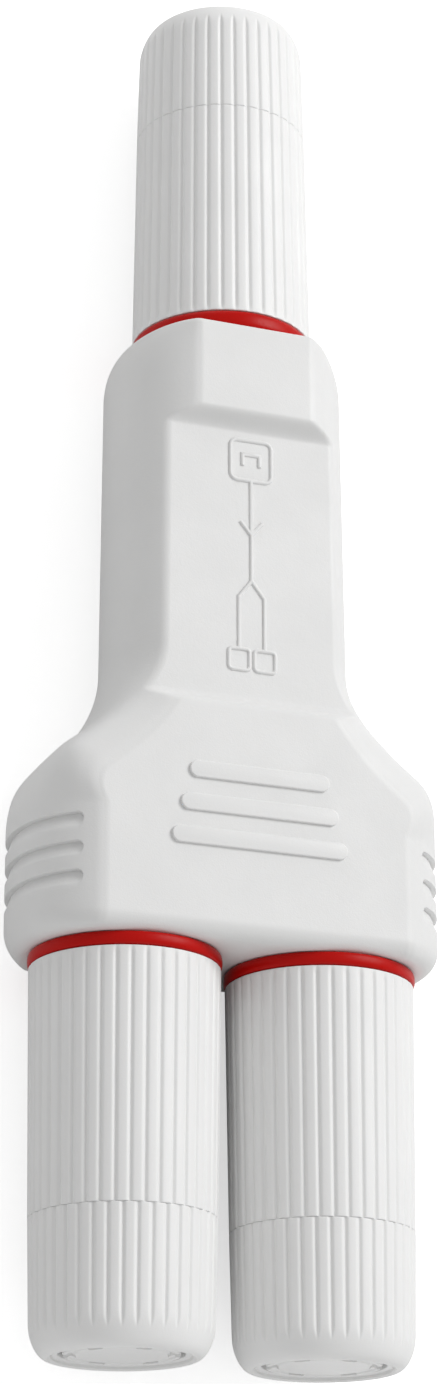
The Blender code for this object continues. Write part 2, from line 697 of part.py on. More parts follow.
def sleeve_mesh():
    """Ribbed sleeve: it screws onto a spigot, and its nose carries the cap's thread."""
    sleeve = ribbed_blank("sleeve", ((SLEEVE_START, SLEEVE_BASE_RADIUS, RIB_DEPTH),
                                     (SLEEVE_END, SEAM_RADIUS, RIB_DEPTH)))
    boolean(sleeve, "UNION", turned("nose", [
        (0.0, NOSE_END), (NOSE_RADIUS - NOSE_EDGE, NOSE_END), (NOSE_RADIUS, NOSE_END - NOSE_EDGE),
        (NOSE_RADIUS, SLEEVE_END - WALL), (0.0, SLEEVE_END - WALL)]))
    spigot_way = SPIGOT_RADIUS + RUN_GAP
    cage_way = CAGE_RADIUS + RUN_GAP
    boolean(sleeve, "DIFFERENCE", turned("sleeve_bore", [
        (0.0, NOSE_END + WALL), (cage_way, NOSE_END + WALL), (cage_way, SPIGOT_WAY_END),
        (spigot_way, SPIGOT_WAY_END), (spigot_way, 0.0), (0.0, 0.0)]))
    return take_mesh(sleeve)


def cage_mesh():
    """Clamping cage whose fingers close on the grommet as the cap is tightened."""
    cage = turned("claw_cage", [(CAGE_RADIUS, CAGE_END), (CAGE_RADIUS, CAGE_START),
                                (CAGE_BORE, CAGE_START), (CAGE_BORE, CAGE_END)])
    for index in range(SLIT_COUNT):
        slit = box(f"slit_{index}", (SLIT_WIDTH, 3 * CAGE_RADIUS, 2 * FINGER_LENGTH),
                   (0.0, 0.0, CAGE_END))
        slit.rotation_euler = (0.0, 0.0, math.pi / SLIT_COUNT * (index + 0.5))
        boolean(cage, "DIFFERENCE", slit)
    return take_mesh(cage)


def grommet_mesh():
    narrow, waist = GROMMET_WAIST
    return take_mesh(turned("grommet", [
        (GROMMET_TIP_RADIUS - GROMMET_DRAFT, GROMMET_END), (GROMMET_TIP_RADIUS, waist),
        (GROMMET_RADIUS, narrow), (GROMMET_RADIUS, GROMMET_START),
        (CABLE_BORE, GROMMET_START), (CABLE_BORE, GROMMET_END)]))


def washer_mesh():
    outer = NOSE_RADIUS - SEAL_GAP
    return take_mesh(turned("slip_washer", [
        (outer, WASHER_END), (outer, WASHER_START),
        (WASHER_BORE, WASHER_START), (WASHER_BORE, WASHER_END)]))


def cap_mesh():
    """Ribbed clamping cap with a rounded end and a sunk mouth."""
    start = SLEEVE_END + SEAL_GAP
    across, along = CAP_SHOULDER
    taper = (CAP_FACE_RADIUS - SEAM_RADIUS) / (CAP_END - start)
    rings = [(start, SEAM_RADIUS, RIB_DEPTH)]
    for angle in (0, 22, 42, 60, 77, 90):
        height = CAP_END - along * (1 - math.sin(math.radians(angle)))
        drop = across * (1 - math.cos(math.radians(angle)))
        radius = CAP_FACE_RADIUS + taper * (height - CAP_END) - drop
        rings.append((height, radius, max(RIB_DEPTH - drop, 0.0)))
    cap = ribbed_blank("cap", rings)
    thread_way = NOSE_RADIUS + RUN_GAP
    seat = WASHER_END + RUN_GAP
    ledge = PLUG_FACE - PLUG_STEP
    boolean(cap, "DIFFERENCE", turned("cap_bore", [
        (0.0, CAP_END + WALL), (CAP_MOUTH_RADIUS, CAP_END + WALL), (CAP_MOUTH_RADIUS, ledge),
        (CAP_HOLE_RADIUS, ledge), (CAP_HOLE_RADIUS, seat + CAP_SEAT_SLOPE), (thread_way, seat),
        (thread_way, start - WALL), (0.0, start - WALL)]))
    return take_mesh(cap)


def plug_mesh():
    """Blanking plug that keeps an unused port dry: a disc in the cap's mouth and a stem."""
    stem = CABLE_BORE - RUN_GAP
    return take_mesh(turned("blanking_plug", [
        (0.0, PLUG_FACE), (PLUG_RADIUS - EDGE_CUT, PLUG_FACE), (PLUG_RADIUS, PLUG_FACE - EDGE_CUT),
        (PLUG_RADIUS, PLUG_UNDERSIDE), (stem, PLUG_UNDERSIDE), (stem, STEM_END + EDGE_CUT),
        (stem - EDGE_CUT, STEM_END), (0.0, STEM_END)]))


def make_glands():
    pieces = (
        ("gasket", gasket_mesh(0.0), red_rubber), ("sleeve", sleeve_mesh(), white_plastic),
        ("claw_cage", cage_mesh(), white_plastic), ("grommet", grommet_mesh(), black_rubber),
        ("slip_washer", washer_mesh(), dark_plastic), ("cap", cap_mesh(), white_plastic),
        ("blanking_plug", plug_mesh(), white_plastic),
    )
    for port, (x, sign) in PORTS.items():
        bpy.ops.object.empty_add(type="ARROWS", radius=0.01)
        axis = bpy.context.object
        axis.name = f"{port}_axis"
        point_along_port(axis, x, sign)
        for name, mesh, mat in pieces:
            if (port, name) == ("input", "gasket"):
                mesh = gasket_mesh(CROWN_LEAN)
            copy_part(mesh, f"{port}_{name}", mat, axis)


clear_scene()
parts = new_collection("network_power_extender")
cutters = new_collection("cutters")

white_plastic = material("white_plastic", (0.82, 0.82, 0.81), 0.55)
red_rubber = material("red_rubber", (0.46, 0.012, 0.008), 0.45)
black_rubber = material("black_rubber", (0.03, 0.03, 0.03), 0.7)
dark_plastic = material("dark_plastic", (0.035, 0.035, 0.04), 0.5)
board_green = material("board_green", (0.02, 0.16, 0.06), 0.4)
steel = material("steel", (0.62, 0.62, 0.60), 0.3, 1.0)
gold = material("gold", (0.83, 0.60, 0.22), 0.3, 1.0)

make_housing()
make_cover()
make_screws()
make_board()
make_jacks()
make_components()
make_glands()
bpy.context.view_layer.update()
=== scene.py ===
"""Looks of the outdoor network power extender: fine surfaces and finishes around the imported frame.

Metres, in the frame's axes: the part lies on its flat rear face, +Z out of the front face, +Y
towards the input gland. Heights called "from the axes" start at the plane of the gland axes,
and heights along a port start at the body's end face.
"""

import math

import bmesh
import bpy
import numpy as np
from mathutils import Matrix, Vector


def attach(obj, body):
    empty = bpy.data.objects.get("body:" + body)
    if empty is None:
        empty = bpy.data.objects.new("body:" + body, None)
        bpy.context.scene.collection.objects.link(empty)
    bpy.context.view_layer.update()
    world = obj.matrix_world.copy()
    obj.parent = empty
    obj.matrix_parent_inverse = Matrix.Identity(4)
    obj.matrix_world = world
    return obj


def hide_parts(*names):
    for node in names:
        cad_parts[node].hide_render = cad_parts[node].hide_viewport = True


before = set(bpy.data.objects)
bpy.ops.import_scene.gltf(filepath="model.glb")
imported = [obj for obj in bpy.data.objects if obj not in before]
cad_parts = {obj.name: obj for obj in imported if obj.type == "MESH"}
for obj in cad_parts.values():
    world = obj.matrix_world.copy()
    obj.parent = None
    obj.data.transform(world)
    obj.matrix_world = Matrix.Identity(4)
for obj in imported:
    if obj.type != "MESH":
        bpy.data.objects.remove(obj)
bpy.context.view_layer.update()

# ---- Housing, as in the CAD --------------------------------------------------------------------
HALF_LENGTH = 0.05065
HALF_DEPTH = 0.0155
AXIS_Z = HALF_DEPTH
NECK_TOP_HALF = 0.01875
NECK_BASE_HALF = 0.0192
SHOULDER_HALF = 0.0337
FLARE_TOP = -0.0041
FLARE_ANGLE = math.radians(51.6)
HOLLOW_RADIUS = 0.0198
SHOULDER_RADIUS = 0.0148
SIDE_CURVE_HEIGHT = 0.0175
SIDE_CURVE = (0.0192, 2.2)            # depth and power beside the neck and the lower body
FLARE_CURVE = (0.0816, 6.8)           # depth and power in the middle of the flare
CROWN_CORNER = (0.0044, 0.0080)
BASE_CORNER = (0.0036, 0.0036)
CROWN_EDGE = 0.0009
CROWN_LEAN = 0.0008                   # draft of the input end face, at the front flat
BASE_EDGE = 0.0025
WALL = 0.0020
PARTING = -0.0125
NECK_CEILING = 0.0106
SEAL_GAP = 0.0001
RECESS_FLOOR = 0.0127
RECESS_SPAN = (-0.0124, 0.0329)
RECESS_SLOPE = 0.0017
BAR_TOP = -0.0253
BAR_PITCH = 0.0052
BAR_HEIGHT = 0.0005
BAR_WIDTH = 0.0026
BAR_HALF_LENGTHS = (0.0112, 0.0126, 0.0140)
SLOT_TOP = -0.0344
SLOT_PITCH = 0.0044
SLOT_WIDTH = 0.0023
SLOT_DEPTH = 0.0009                   # at a slot's upper wall; its floor ramps up from there
SLOT_COUNT = 3
SLOT_SPAN = (0.0139, -0.0110)
COVER_SCREWS = ((0.0070, 0.0243), (0.0175, -0.0237), (0.0054, -0.0450))
COVER_SCREW_SEAT = -0.0140
SEAT_RADIUS = 0.0022

# ---- Glands, as in the CAD ---------------------------------------------------------------------
PORT_PITCH = 0.0314
PORTS = {
    "input": (0.0, 1),
    "output_left": (-PORT_PITCH / 2, -1),
    "output_right": (PORT_PITCH / 2, -1),
}
SPIGOT_RADIUS = 0.0116
SPIGOT_BORE = 0.0096
SPIGOT_LENGTH = 0.0140
SPIGOT_THREAD = 0.0020                # rise of one turn
SPIGOT_WAY_END = 0.0155               # of the sleeve's wide bore, past the spigot's end
GASKET = (0.0146, 0.0121, 0.00005, 0.0021)    # radius, bore, start, end
SLEEVE_START = 0.0022
SLEEVE_END = 0.0396
SLEEVE_BASE_RADIUS = 0.0144
SEAM_RADIUS = 0.01387
NOSE_RADIUS = 0.0110
NOSE_END = 0.0506
CAP_THREAD = 0.0015
CAGE = (0.0096, 0.0083, 0.0159, 0.0504)       # radius, bore, start, end
FINGER_LENGTH = 0.0110
SLIT_WIDTH = 0.0012
SLIT_COUNT = 3                        # each slit runs right across the cage
GROMMET_RADIUS = 0.0080
GROMMET_START = 0.0270
GROMMET_WAIST = (0.0490, 0.0500)
GROMMET_END = 0.0556
GROMMET_TIP_RADIUS = 0.0073
GROMMET_DRAFT = 0.0003                # of its tip
CABLE_BORE = 0.0031
WASHER = (0.0109, 0.0089, 0.0510, 0.0518)     # radius, bore, start, end
CAP_START = SLEEVE_END + SEAL_GAP
CAP_END = 0.0597
CAP_FACE_RADIUS = 0.0134              # where the taper would meet the end plane
CAP_SHOULDER = (0.0028, 0.0060)       # rounding at the end: across, along
CAP_MOUTH_RADIUS = 0.0102
CAP_HOLE_RADIUS = 0.0092
CAP_SEAT_SLOPE = 0.0022               # length of the cone that presses on the slip washer
PLUG_FACE = 0.0592
PLUG_STEP = 0.00015                   # from the plug's face to the ledge round it
PLUG_RADIUS = 0.0086
PLUG_UNDERSIDE = 0.0562
STEM_END = 0.0350
RIB_COUNT = 40
RIB_DEPTH = 0.00032
RUN_GAP = 0.0003                      # around pieces that turn or slide

# ---- Surface softening -------------------------------------------------------------------------
CREASE_NECK = 0.0005                  # how softly the side meets the front flat, at the neck
CREASE_BASE = 0.00062                 # and at the lower body
RECESS_EDGE = 0.0007                  # along the recess's long edges
STEP_TOP = 0.0009                     # at the top of each recess step
STEP_FOOT = 0.0011                    # and at its foot
BAR_ROUNDING = 0.00016
SLOT_WALL = 0.00016                   # width of a side slot's upper wall
SLOT_RAMP = 0.85                      # power of the slope of its floor; 1 is a straight ramp
BEAD_WIDTH = 0.00066                  # strokes of the raised symbol
BEAD_HEIGHT = 0.00034
BEAD_SIDES = 12
SEAM_GROOVE = 0.00014                 # edge rounding where the cover meets the housing
LEVEL_TOP = HALF_DEPTH + CREASE_BASE
EDGE_SLOPE = 1.6                      # inward run over rise, just past the flats' edges
CREASE_SPAN = (0.010, 0.040)          # where the crease starts to soften, and over what length

# ---- Spacing of the mesh's points, along the outline (rows) and up the side (columns) ----------
OUTLINE_STEP = 0.00002                # of the fine rows of points that they're picked from
HEIGHT_STEP = 0.00001
PLAIN_ROWS = 0.0012
FLARE_ROWS = 0.0003
STEP_ROWS = 0.00016                   # over the recess's end steps
SLOT_ROWS = (0.00018, 0.0001)         # over a side slot, and how far they go on past it
WALL_ROWS = (6, 0.00006)              # number over a slot's upper wall, and how far past it
EDGE_ROWS = 14                        # number over the rounding of an end's edge
PLAIN_COLUMNS = 0.0009
FINE_COLUMNS = (                      # height from the axes, reach and spacing
    (RECESS_FLOOR, 0.0009, 0.00018),
    (SLOT_SPAN[0] - 0.0006, 0.0008, 0.00011),
    (SLOT_SPAN[1] + 0.0008, 0.0010, 0.00020),
    (HALF_DEPTH, 0.0008, 0.00016),
    (PARTING, 0.0004, 0.00008),
)
FLAT_COLUMNS = (0.05, 0.1)            # shares of the flat's half width: with detail, without
HOLLOW_LEVELS = 14
THREAD_SLICES = 14                    # rings of points to one turn of a thread


# ---- Mesh helpers ------------------------------------------------------------------------------
def mesh_object(name, points, faces):
    mesh = bpy.data.meshes.new(name)
    mesh.from_pydata([tuple(p) for p in points], [], faces)
    bm = bmesh.new()
    bm.from_mesh(mesh)
    bmesh.ops.recalc_face_normals(bm, faces=bm.faces)
    bm.to_mesh(mesh)
    bm.free()
    obj = bpy.data.objects.new(name, mesh)
    bpy.context.scene.collection.objects.link(obj)
    return obj


def piece(obj, body, mat, slot, *nodes, sharp=40.0):
    """Finish an object as a shown piece that rides on a body and stands for some CAD nodes."""
    obj.data.materials.clear()
    obj.data.materials.append(mat)
    obj.data.shade_smooth()
    obj.data.set_sharp_from_angle(angle=math.radians(sharp))
    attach(obj, body)
    if nodes:
        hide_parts(*nodes)
    return obj


def boolean(obj, operation, tool):
    """Cut or join at once, and remove the tool."""
    modifier = obj.modifiers.new("boolean", "BOOLEAN")
    modifier.operation = operation
    modifier.object = tool
    modifier.solver = "MANIFOLD"
    graph = bpy.context.evaluated_depsgraph_get()
    mesh = bpy.data.meshes.new_from_object(obj.evaluated_get(graph))
    obj.modifiers.clear()
    obj.data = mesh
    bpy.data.objects.remove(tool, do_unlink=True)


def grid_faces(rows, columns, first=0, wrap_columns=False, wrap_rows=False):
    faces = []
    for i in range(rows if wrap_rows else rows - 1):
        a, b = first + i * columns, first + (i + 1) % rows * columns
        for j in range(columns if wrap_columns else columns - 1):
            k = (j + 1) % columns
            faces.append((a + j, a + k, b + k, b + j))
    return faces


def smooth_min(a, b, reach):
    """The smaller of two heights, with their crossing rounded over about reach."""
    overlap = np.maximum(reach - np.abs(a - b), 0.0) / reach
    return np.minimum(a, b) - overlap * overlap * reach / 4


def smooth_step(x):
    t = np.clip(x, 0.0, 1.0)
    return t * t * (3 - 2 * t)


def fillet(corners, steps=5):
    """A (radius, height) outline with its corners rounded. A corner may carry a third number,
    the length it's rounded over."""
    points = []
    count = len(corners)
    for i, corner in enumerate(corners):
        here = np.array(corner[:2])
        cut = corner[2] if len(corner) > 2 else 0.0
        if cut == 0.0:
            points.append(tuple(here))
            continue
        before = np.array(corners[i - 1][:2]) - here
        after = np.array(corners[(i + 1) % count][:2]) - here
        start = here + before / np.linalg.norm(before) * cut
        end = here + after / np.linalg.norm(after) * cut
        for step in range(steps + 1):
            t = step / steps
            points.append(tuple(start * (1 - t) ** 2 + here * 2 * t * (1 - t) + end * t * t))
    return points


def turned(name, profile, sides=96, shape=None):
    """Turn (radius, height) points about Z. Points on the axis close an end, and any other
    profile closes into a ring. shape(radius, height, angle) may change the radius."""
    angles = np.arange(sides) * 2 * math.pi / sides
    solid = profile[0][0] == 0.0
    body = profile[1:-1] if solid else profile
    points = []
    for radius, height in body:
        reach = np.full(sides, radius) if shape is None else shape(radius, height, angles)
        points += zip(reach * np.cos(angles), reach * np.sin(angles), np.full(sides, height))
    faces = grid_faces(len(body), sides, wrap_columns=True, wrap_rows=not solid)
    if solid:
        last = len(points)
        points += [(0.0, 0.0, profile[0][1]), (0.0, 0.0, profile[-1][1])]
        for tip, row in ((last, 0), (last + 1, last - sides)):
            faces += [(tip, row + j, row + (j + 1) % sides) for j in range(sides)]
    return mesh_object(name, points, faces)


def along_port(x, sign):
    """The matrix that takes +Z to the port's outward axis."""
    turn = Matrix.Rotation(-sign * math.pi / 2, 4, "X")
    return Matrix.Translation((x, sign * HALF_LENGTH, AXIS_Z)) @ turn


# ---- Housing form ------------------------------------------------------------------------------
def superellipse_drop(z, depth, power):
    share = np.minimum(np.abs(z / SIDE_CURVE_HEIGHT), 1.0) ** power
    return depth * (1 - (1 - share) ** (1 / power))


def side_inset(z, slant):
    """How far the side has curved in. Past the flat's edge it goes on as a straight slope."""
    curved = np.clip(z, -HALF_DEPTH, HALF_DEPTH)
    plain = superellipse_drop(curved, *SIDE_CURVE)
    full = superellipse_drop(curved, *FLARE_CURVE)
    share = smooth_step(slant / math.sin(FLARE_ANGLE))
    return plain + (full - plain) * share + EDGE_SLOPE * np.abs(z - curved)


def quarter_drop(distance, length, drop):
    share = np.clip(distance / length, 0.0, 1.0)
    return drop * (1 - np.sqrt(1 - share * share))


def end_rounding(y):
    """How far the side, and the front and rear, have rounded in at y."""
    side, depth = np.zeros_like(y), np.zeros_like(y)
    ends = ((1, CROWN_CORNER, CROWN_EDGE), (-1, BASE_CORNER, BASE_EDGE))
    for sign, (across, along), edge in ends:
        side += quarter_drop(sign * y - (HALF_LENGTH - along), along, across)
        depth += quarter_drop(sign * y - (HALF_LENGTH - edge), edge, edge)
    return side, depth


def fine_outline():
    """The right side's outline at a fine even step: x, y, outward direction nx, ny."""
    step = OUTLINE_STEP
    parts = []
    ys = np.arange(HALF_LENGTH, FLARE_TOP, -step)
    share = (ys - FLARE_TOP) / (HALF_LENGTH - FLARE_TOP)
    half = NECK_BASE_HALF + (NECK_TOP_HALF - NECK_BASE_HALF) * share
    parts.append((half, ys, np.ones_like(ys), np.zeros_like(ys)))
    angle = np.arange(0, FLARE_ANGLE, step / HOLLOW_RADIUS)
    parts.append((NECK_BASE_HALF + HOLLOW_RADIUS * (1 - np.cos(angle)),
                  FLARE_TOP - HOLLOW_RADIUS * np.sin(angle), np.cos(angle), np.sin(angle)))
    nx, ny = math.cos(FLARE_ANGLE), math.sin(FLARE_ANGLE)
    x = NECK_BASE_HALF + HOLLOW_RADIUS * (1 - nx)
    y = FLARE_TOP - HOLLOW_RADIUS * ny
    shoulder_x = SHOULDER_HALF - SHOULDER_RADIUS
    run = (shoulder_x + SHOULDER_RADIUS * nx - x) / ny
    shoulder_y = y - run * nx - SHOULDER_RADIUS * ny
    walked = np.arange(0, run, step)
    parts.append((x + walked * ny, y - walked * nx,
                  np.full_like(walked, nx), np.full_like(walked, ny)))
    angle = np.arange(FLARE_ANGLE, 0, -step / SHOULDER_RADIUS)
    parts.append((shoulder_x + SHOULDER_RADIUS * np.cos(angle),
                  shoulder_y + SHOULDER_RADIUS * np.sin(angle), np.cos(angle), np.sin(angle)))
    ys = np.append(np.arange(shoulder_y, -HALF_LENGTH, -step), -HALF_LENGTH)
    parts.append((np.full_like(ys, SHOULDER_HALF), ys, np.ones_like(ys), np.zeros_like(ys)))
    return [np.concatenate(values) for values in zip(*parts)], step


def thinned(weights, step):
    """Indices of a fine row of points, so that they're about 1 / weight apart."""
    total = np.concatenate([[0.0], np.cumsum((weights[1:] + weights[:-1]) / 2 * step)])
    count = int(math.ceil(total[-1]))
    wanted = np.linspace(0.0, total[-1], count + 1)
    return np.unique(np.searchsorted(total, wanted - 1e-12).clip(0, len(total) - 1))


def near(values, edges, reach):
    close = np.zeros(len(values), bool)
    for edge in edges:
        close |= np.abs(values - edge) < reach
    return close


def stations(detail):
    """The outline, thinned to what the shape needs. Without detail, only for the plain form."""
    (x, y, nx, ny), step = fine_outline()
    weights = np.full(len(x), 1 / PLAIN_ROWS)
    weights[ny > 0] = 1 / FLARE_ROWS
    for sign, lengths in ((1, (CROWN_CORNER[1], CROWN_EDGE)), (-1, (BASE_CORNER[1], BASE_EDGE))):
        for length in lengths:
            share = np.clip((sign * y - (HALF_LENGTH - length)) / length, 0.0, 0.99999)
            spread = length * np.sqrt(1 - share * share)
            turning = EDGE_ROWS / spread * (share > 0) / (math.pi / 2)
            weights = np.maximum(weights, turning)
    if detail:
        flat_y = y - side_inset(HALF_DEPTH, ny) * ny
        pace = np.abs(np.gradient(flat_y, step))
        low, high = RECESS_SPAN
        steps = [low - RECESS_SLOPE / 2, high + RECESS_SLOPE / 2]
        fine = near(flat_y, steps, RECESS_SLOPE / 2 + STEP_FOOT)
        weights[fine] = np.maximum(weights, pace / STEP_ROWS)[fine]
        slots = [SLOT_TOP - i * SLOT_PITCH for i in range(SLOT_COUNT)]
        spacing, past = SLOT_ROWS
        weights[near(y, slots, SLOT_WIDTH / 2 + past)] = 1 / spacing
        edges = [slot + (SLOT_WIDTH - SLOT_WALL) / 2 for slot in slots]
        count, past = WALL_ROWS
        weights[near(y, edges, SLOT_WALL / 2 + past)] = count / SLOT_WALL
    picked = thinned(weights, step)
    return x[picked], y[picked], nx[picked], ny[picked]


def height_levels(low, high, detail):
    """Heights from the axes for the side's columns, closer together where the side has detail."""
    step = HEIGHT_STEP
    z = np.arange(low, high + step / 2, step)
    slope = np.gradient(side_inset(z, 0.0), step)
    walk = np.hypot(1.0, slope)
    weights = walk / PLAIN_COLUMNS
    if detail:
        for centre, reach, spacing in FINE_COLUMNS:
            fine = np.abs(z - centre) < reach
            weights[fine] = np.maximum(weights, walk / spacing)[fine]
    return z[thinned(weights, step)]


def flat_shares(detail):
    """How far each column of the flat has come from its edge (0) to the middle (1)."""
    step = 0.0005
    share = np.arange(0, 1 + step / 2, step)
    spacing = FLAT_COLUMNS[0 if detail else 1]
    return share[thinned(np.full(len(share), 1 / spacing), step)][1:]


def stadium(along, across, half_length, half_width):
    """Distance inside a slot with round ends; negative outside."""
    beyond = np.maximum(np.abs(along) - (half_length - half_width), 0.0)
    return half_width - np.hypot(beyond, across)


def recess_height(y):
    low, high = RECESS_SPAN
    rise = (HALF_DEPTH - RECESS_FLOOR) / RECESS_SLOPE
    outside = np.maximum(low - y, y - high)
    climb = -smooth_min(-outside * rise, np.zeros_like(y), STEP_FOOT)
    return RECESS_FLOOR + climb


def front_height(y, z):
    """Height from the axes after the front flat and the recess have shaped it."""
    front = smooth_min(recess_height(y), HALF_DEPTH, STEP_TOP)
    start, length = CREASE_SPAN
    below = smooth_step((start - y) / length)
    crease = CREASE_NECK + (CREASE_BASE - CREASE_NECK) * below
    sunk = np.clip((HALF_DEPTH - front) / (HALF_DEPTH - RECESS_FLOOR), 0.0, 1.0)
    return smooth_min(z, front, crease + (RECESS_EDGE - crease) * sunk)


def squeezed(z, depth_cut):
    front = z * (HALF_DEPTH - depth_cut) / HALF_DEPTH
    cover = HALF_DEPTH + PARTING
    rear = PARTING + (z - PARTING) * (cover - depth_cut) / cover
    return np.where(z > 0, front, np.where(z < PARTING, rear, z))


def crown_lean(y, z):
    """How far the input end has leaned back at a point, for draft of its front half."""
    share = smooth_step((y - HALF_LENGTH) / CROWN_CORNER[1] + 1)
    return CROWN_LEAN * np.maximum(z, 0.0) / HALF_DEPTH * share


def body_grid(levels, shares, detail, inset=0.0, flat=HALF_DEPTH):
    """Rows of points across the body, right side to left. Levels run from the parting plane
    towards the flat, which is the front for rising levels and the rear for falling ones."""
    x, y, nx, ny = (v[:, None] for v in stations(detail))
    side_cut, depth_cut = end_rounding(y)
    flat_inset = side_inset(HALF_DEPTH, ny)
    keep = 1 - side_cut / (flat_inset * nx)
    flat_x = x - (inset + flat_inset) * nx
    z = levels[None, :] + 0 * x
    off = inset + side_inset(z, ny)
    px = flat_x + (x - off * nx - flat_x) * keep
    py = y - off * ny
    if detail:
        px, z = shape_side(px, py, z, keep)
    inner_x = px[:, -1:] * (1 - shares[None, :])
    px = np.concatenate([px, inner_x], axis=1)
    py = np.concatenate([py, np.repeat(py[:, -1:], len(shares), axis=1)], axis=1)
    z = np.concatenate([z, np.repeat(z[:, -1:], len(shares), axis=1)], axis=1)
    if detail:
        z = front_height(py, z) if levels[-1] > 0 else -smooth_min(-z, HALF_DEPTH, CREASE_BASE)
    else:
        z = np.clip(z, -flat, flat)
    z = squeezed(z, depth_cut)
    right = np.stack([px, py - crown_lean(py, z), AXIS_Z + z], axis=2)
    left = right[:, -2::-1] * np.array([-1.0, 1.0, 1.0])
    return np.concatenate([right, left], axis=1)


def shape_side(px, py, z, keep):
    """Sink the side slots, and round the edge at the parting plane."""
    sink = np.zeros_like(px)
    walked = np.concatenate([np.zeros((len(px), 1)), np.cumsum(
        np.hypot(np.diff(px, axis=1), np.diff(z, axis=1)), axis=1)], axis=1)
    if z[0, -1] > 0:
        front, rear = (np.array([np.interp(level, row_z, row) for row_z, row in zip(z, walked)])
                       for level in SLOT_SPAN)
        middle, half = ((front + rear) / 2)[:, None], ((front - rear) / 2)[:, None]
        for i in range(SLOT_COUNT):
            across = py - (SLOT_TOP - i * SLOT_PITCH)
            inside = stadium(walked - middle, across, half, SLOT_WIDTH / 2)
            ramp = np.clip(across / SLOT_WIDTH + 0.5, 0.0, 1.0) ** SLOT_RAMP
            sink += SLOT_DEPTH * ramp * smooth_step(inside / SLOT_WALL)
    from_parting = np.abs(z - PARTING)
    sink += quarter_drop(2 * SEAM_GROOVE - from_parting, 2 * SEAM_GROOVE, SEAM_GROOVE)
    slope_x, slope_z = np.gradient(px, axis=1), np.gradient(z, axis=1)
    length = np.hypot(slope_x, slope_z)
    facing = np.sign(z[0, -1])
    return px - sink * facing * slope_z / length, z + sink * facing * slope_x / length


def strip_faces(row, columns):
    """Close the flat end of a grid: quads between the right half and the left half."""
    faces = []
    for j in range((columns - 1) // 2):
        k = columns - 1 - j
        if k - 1 == j + 1:
            faces.append((row + j, row + j + 1, row + k))
        else:
            faces.append((row + j, row + j + 1, row + k - 1, row + k))
    return faces


def make_housing():
    levels = height_levels(PARTING, LEVEL_TOP, True)
    outer = body_grid(levels, flat_shares(True), True)
    rows, columns = outer.shape[:2]
    points = outer.reshape(-1, 3)
    faces = grid_faces(rows, columns)
    for row in (0, rows - 1):
        faces += strip_faces(row * columns, columns)

    # the inside of the shell, with a flat rim between the two
    scale = 1 - WALL / HALF_LENGTH
    inner_levels = np.linspace(PARTING, NECK_CEILING, HOLLOW_LEVELS)
    hollow = body_grid(inner_levels, flat_shares(False), False, WALL)
    hollow = match_rows(hollow, rows)
    hollow[:, :, 1] *= scale
    inner_columns = hollow.shape[1]
    first = len(points)
    faces += grid_faces(rows, inner_columns, first)
    for row in (0, rows - 1):
        faces += strip_faces(first + row * inner_columns, inner_columns)
    points = np.concatenate([points, hollow.reshape(-1, 3)])
    outer_loop = [i * columns for i in range(rows)]
    outer_loop += [(i + 1) * columns - 1 for i in reversed(range(rows))]
    inner_loop = [first + i * inner_columns for i in range(rows)]
    inner_loop += [first + (i + 1) * inner_columns - 1 for i in reversed(range(rows))]
    for k in range(len(outer_loop)):
        n = (k + 1) % len(outer_loop)
        faces.append((outer_loop[k], outer_loop[n], inner_loop[n], inner_loop[k]))
    housing = mesh_object("housing_shell", points, faces)
    for i, half_length in enumerate(BAR_HALF_LENGTHS):
        boolean(housing, "UNION", raised_bar(BAR_TOP - i * BAR_PITCH, half_length))
    boolean(housing, "UNION", symbol_mesh())
    for port, (x, sign) in PORTS.items():
        spigot = threaded_tube(f"{port}_spigot", SPIGOT_RADIUS, SPIGOT_THREAD, SPIGOT_THREAD_DEPTH,
                               SPIGOT_BORE, -WALL / 2, SPIGOT_LENGTH, SPIGOT_NECK)
        spigot.data.transform(along_port(x, sign))
        bore = turned("bore", [(0.0, WALL), (SPIGOT_BORE, WALL), (SPIGOT_BORE, -2 * WALL),
                               (0.0, -2 * WALL)])
        bore.data.transform(along_port(x, sign))
        boolean(housing, "DIFFERENCE", bore)
        boolean(housing, "UNION", spigot)
    return housing


def bead(path, closed=False):
    """A low rounded ridge along a path on the recess floor."""
    path = np.array(path, dtype=float)
    after = np.roll(path, -1, axis=0) - path
    before = path - np.roll(path, 1, axis=0)
    if not closed:
        after[-1], before[0] = before[-1], after[0]
    unit = [v / np.linalg.norm(v, axis=1)[:, None] for v in (before, after)]
    along = unit[0] + unit[1]
    along /= np.linalg.norm(along, axis=1)[:, None]
    across = np.stack([-along[:, 1], along[:, 0]], axis=1)
    across /= np.maximum((unit[1] * along).sum(axis=1), 0.5)[:, None]
    round_angles = np.arange(BEAD_SIDES) * 2 * math.pi / BEAD_SIDES
    points = []
    for place, side in zip(path, across):
        for angle in round_angles:
            x, y = place + side * BEAD_WIDTH / 2 * math.cos(angle)
            points.append((x, y, AXIS_Z + RECESS_FLOOR + BEAD_HEIGHT * math.sin(angle)))
    faces = grid_faces(len(path), BEAD_SIDES, wrap_columns=True, wrap_rows=closed)
    if not closed:
        faces += [list(range(BEAD_SIDES)), list(range(len(points) - BEAD_SIDES, len(points)))]
    return mesh_object("bead", points, faces)


def rounded_square(x, y, half, corner):
    """A path round a square with rounded corners."""
    path = []
    for turn, (sx, sy) in enumerate(((1, 1), (-1, 1), (-1, -1), (1, -1))):
        for step in range(6):
            angle = math.pi / 2 * (turn + step / 5)
            path.append((x + sx * (half - corner) + corner * math.cos(angle),
                         y + sy * (half - corner) + corner * math.sin(angle)))
    return path


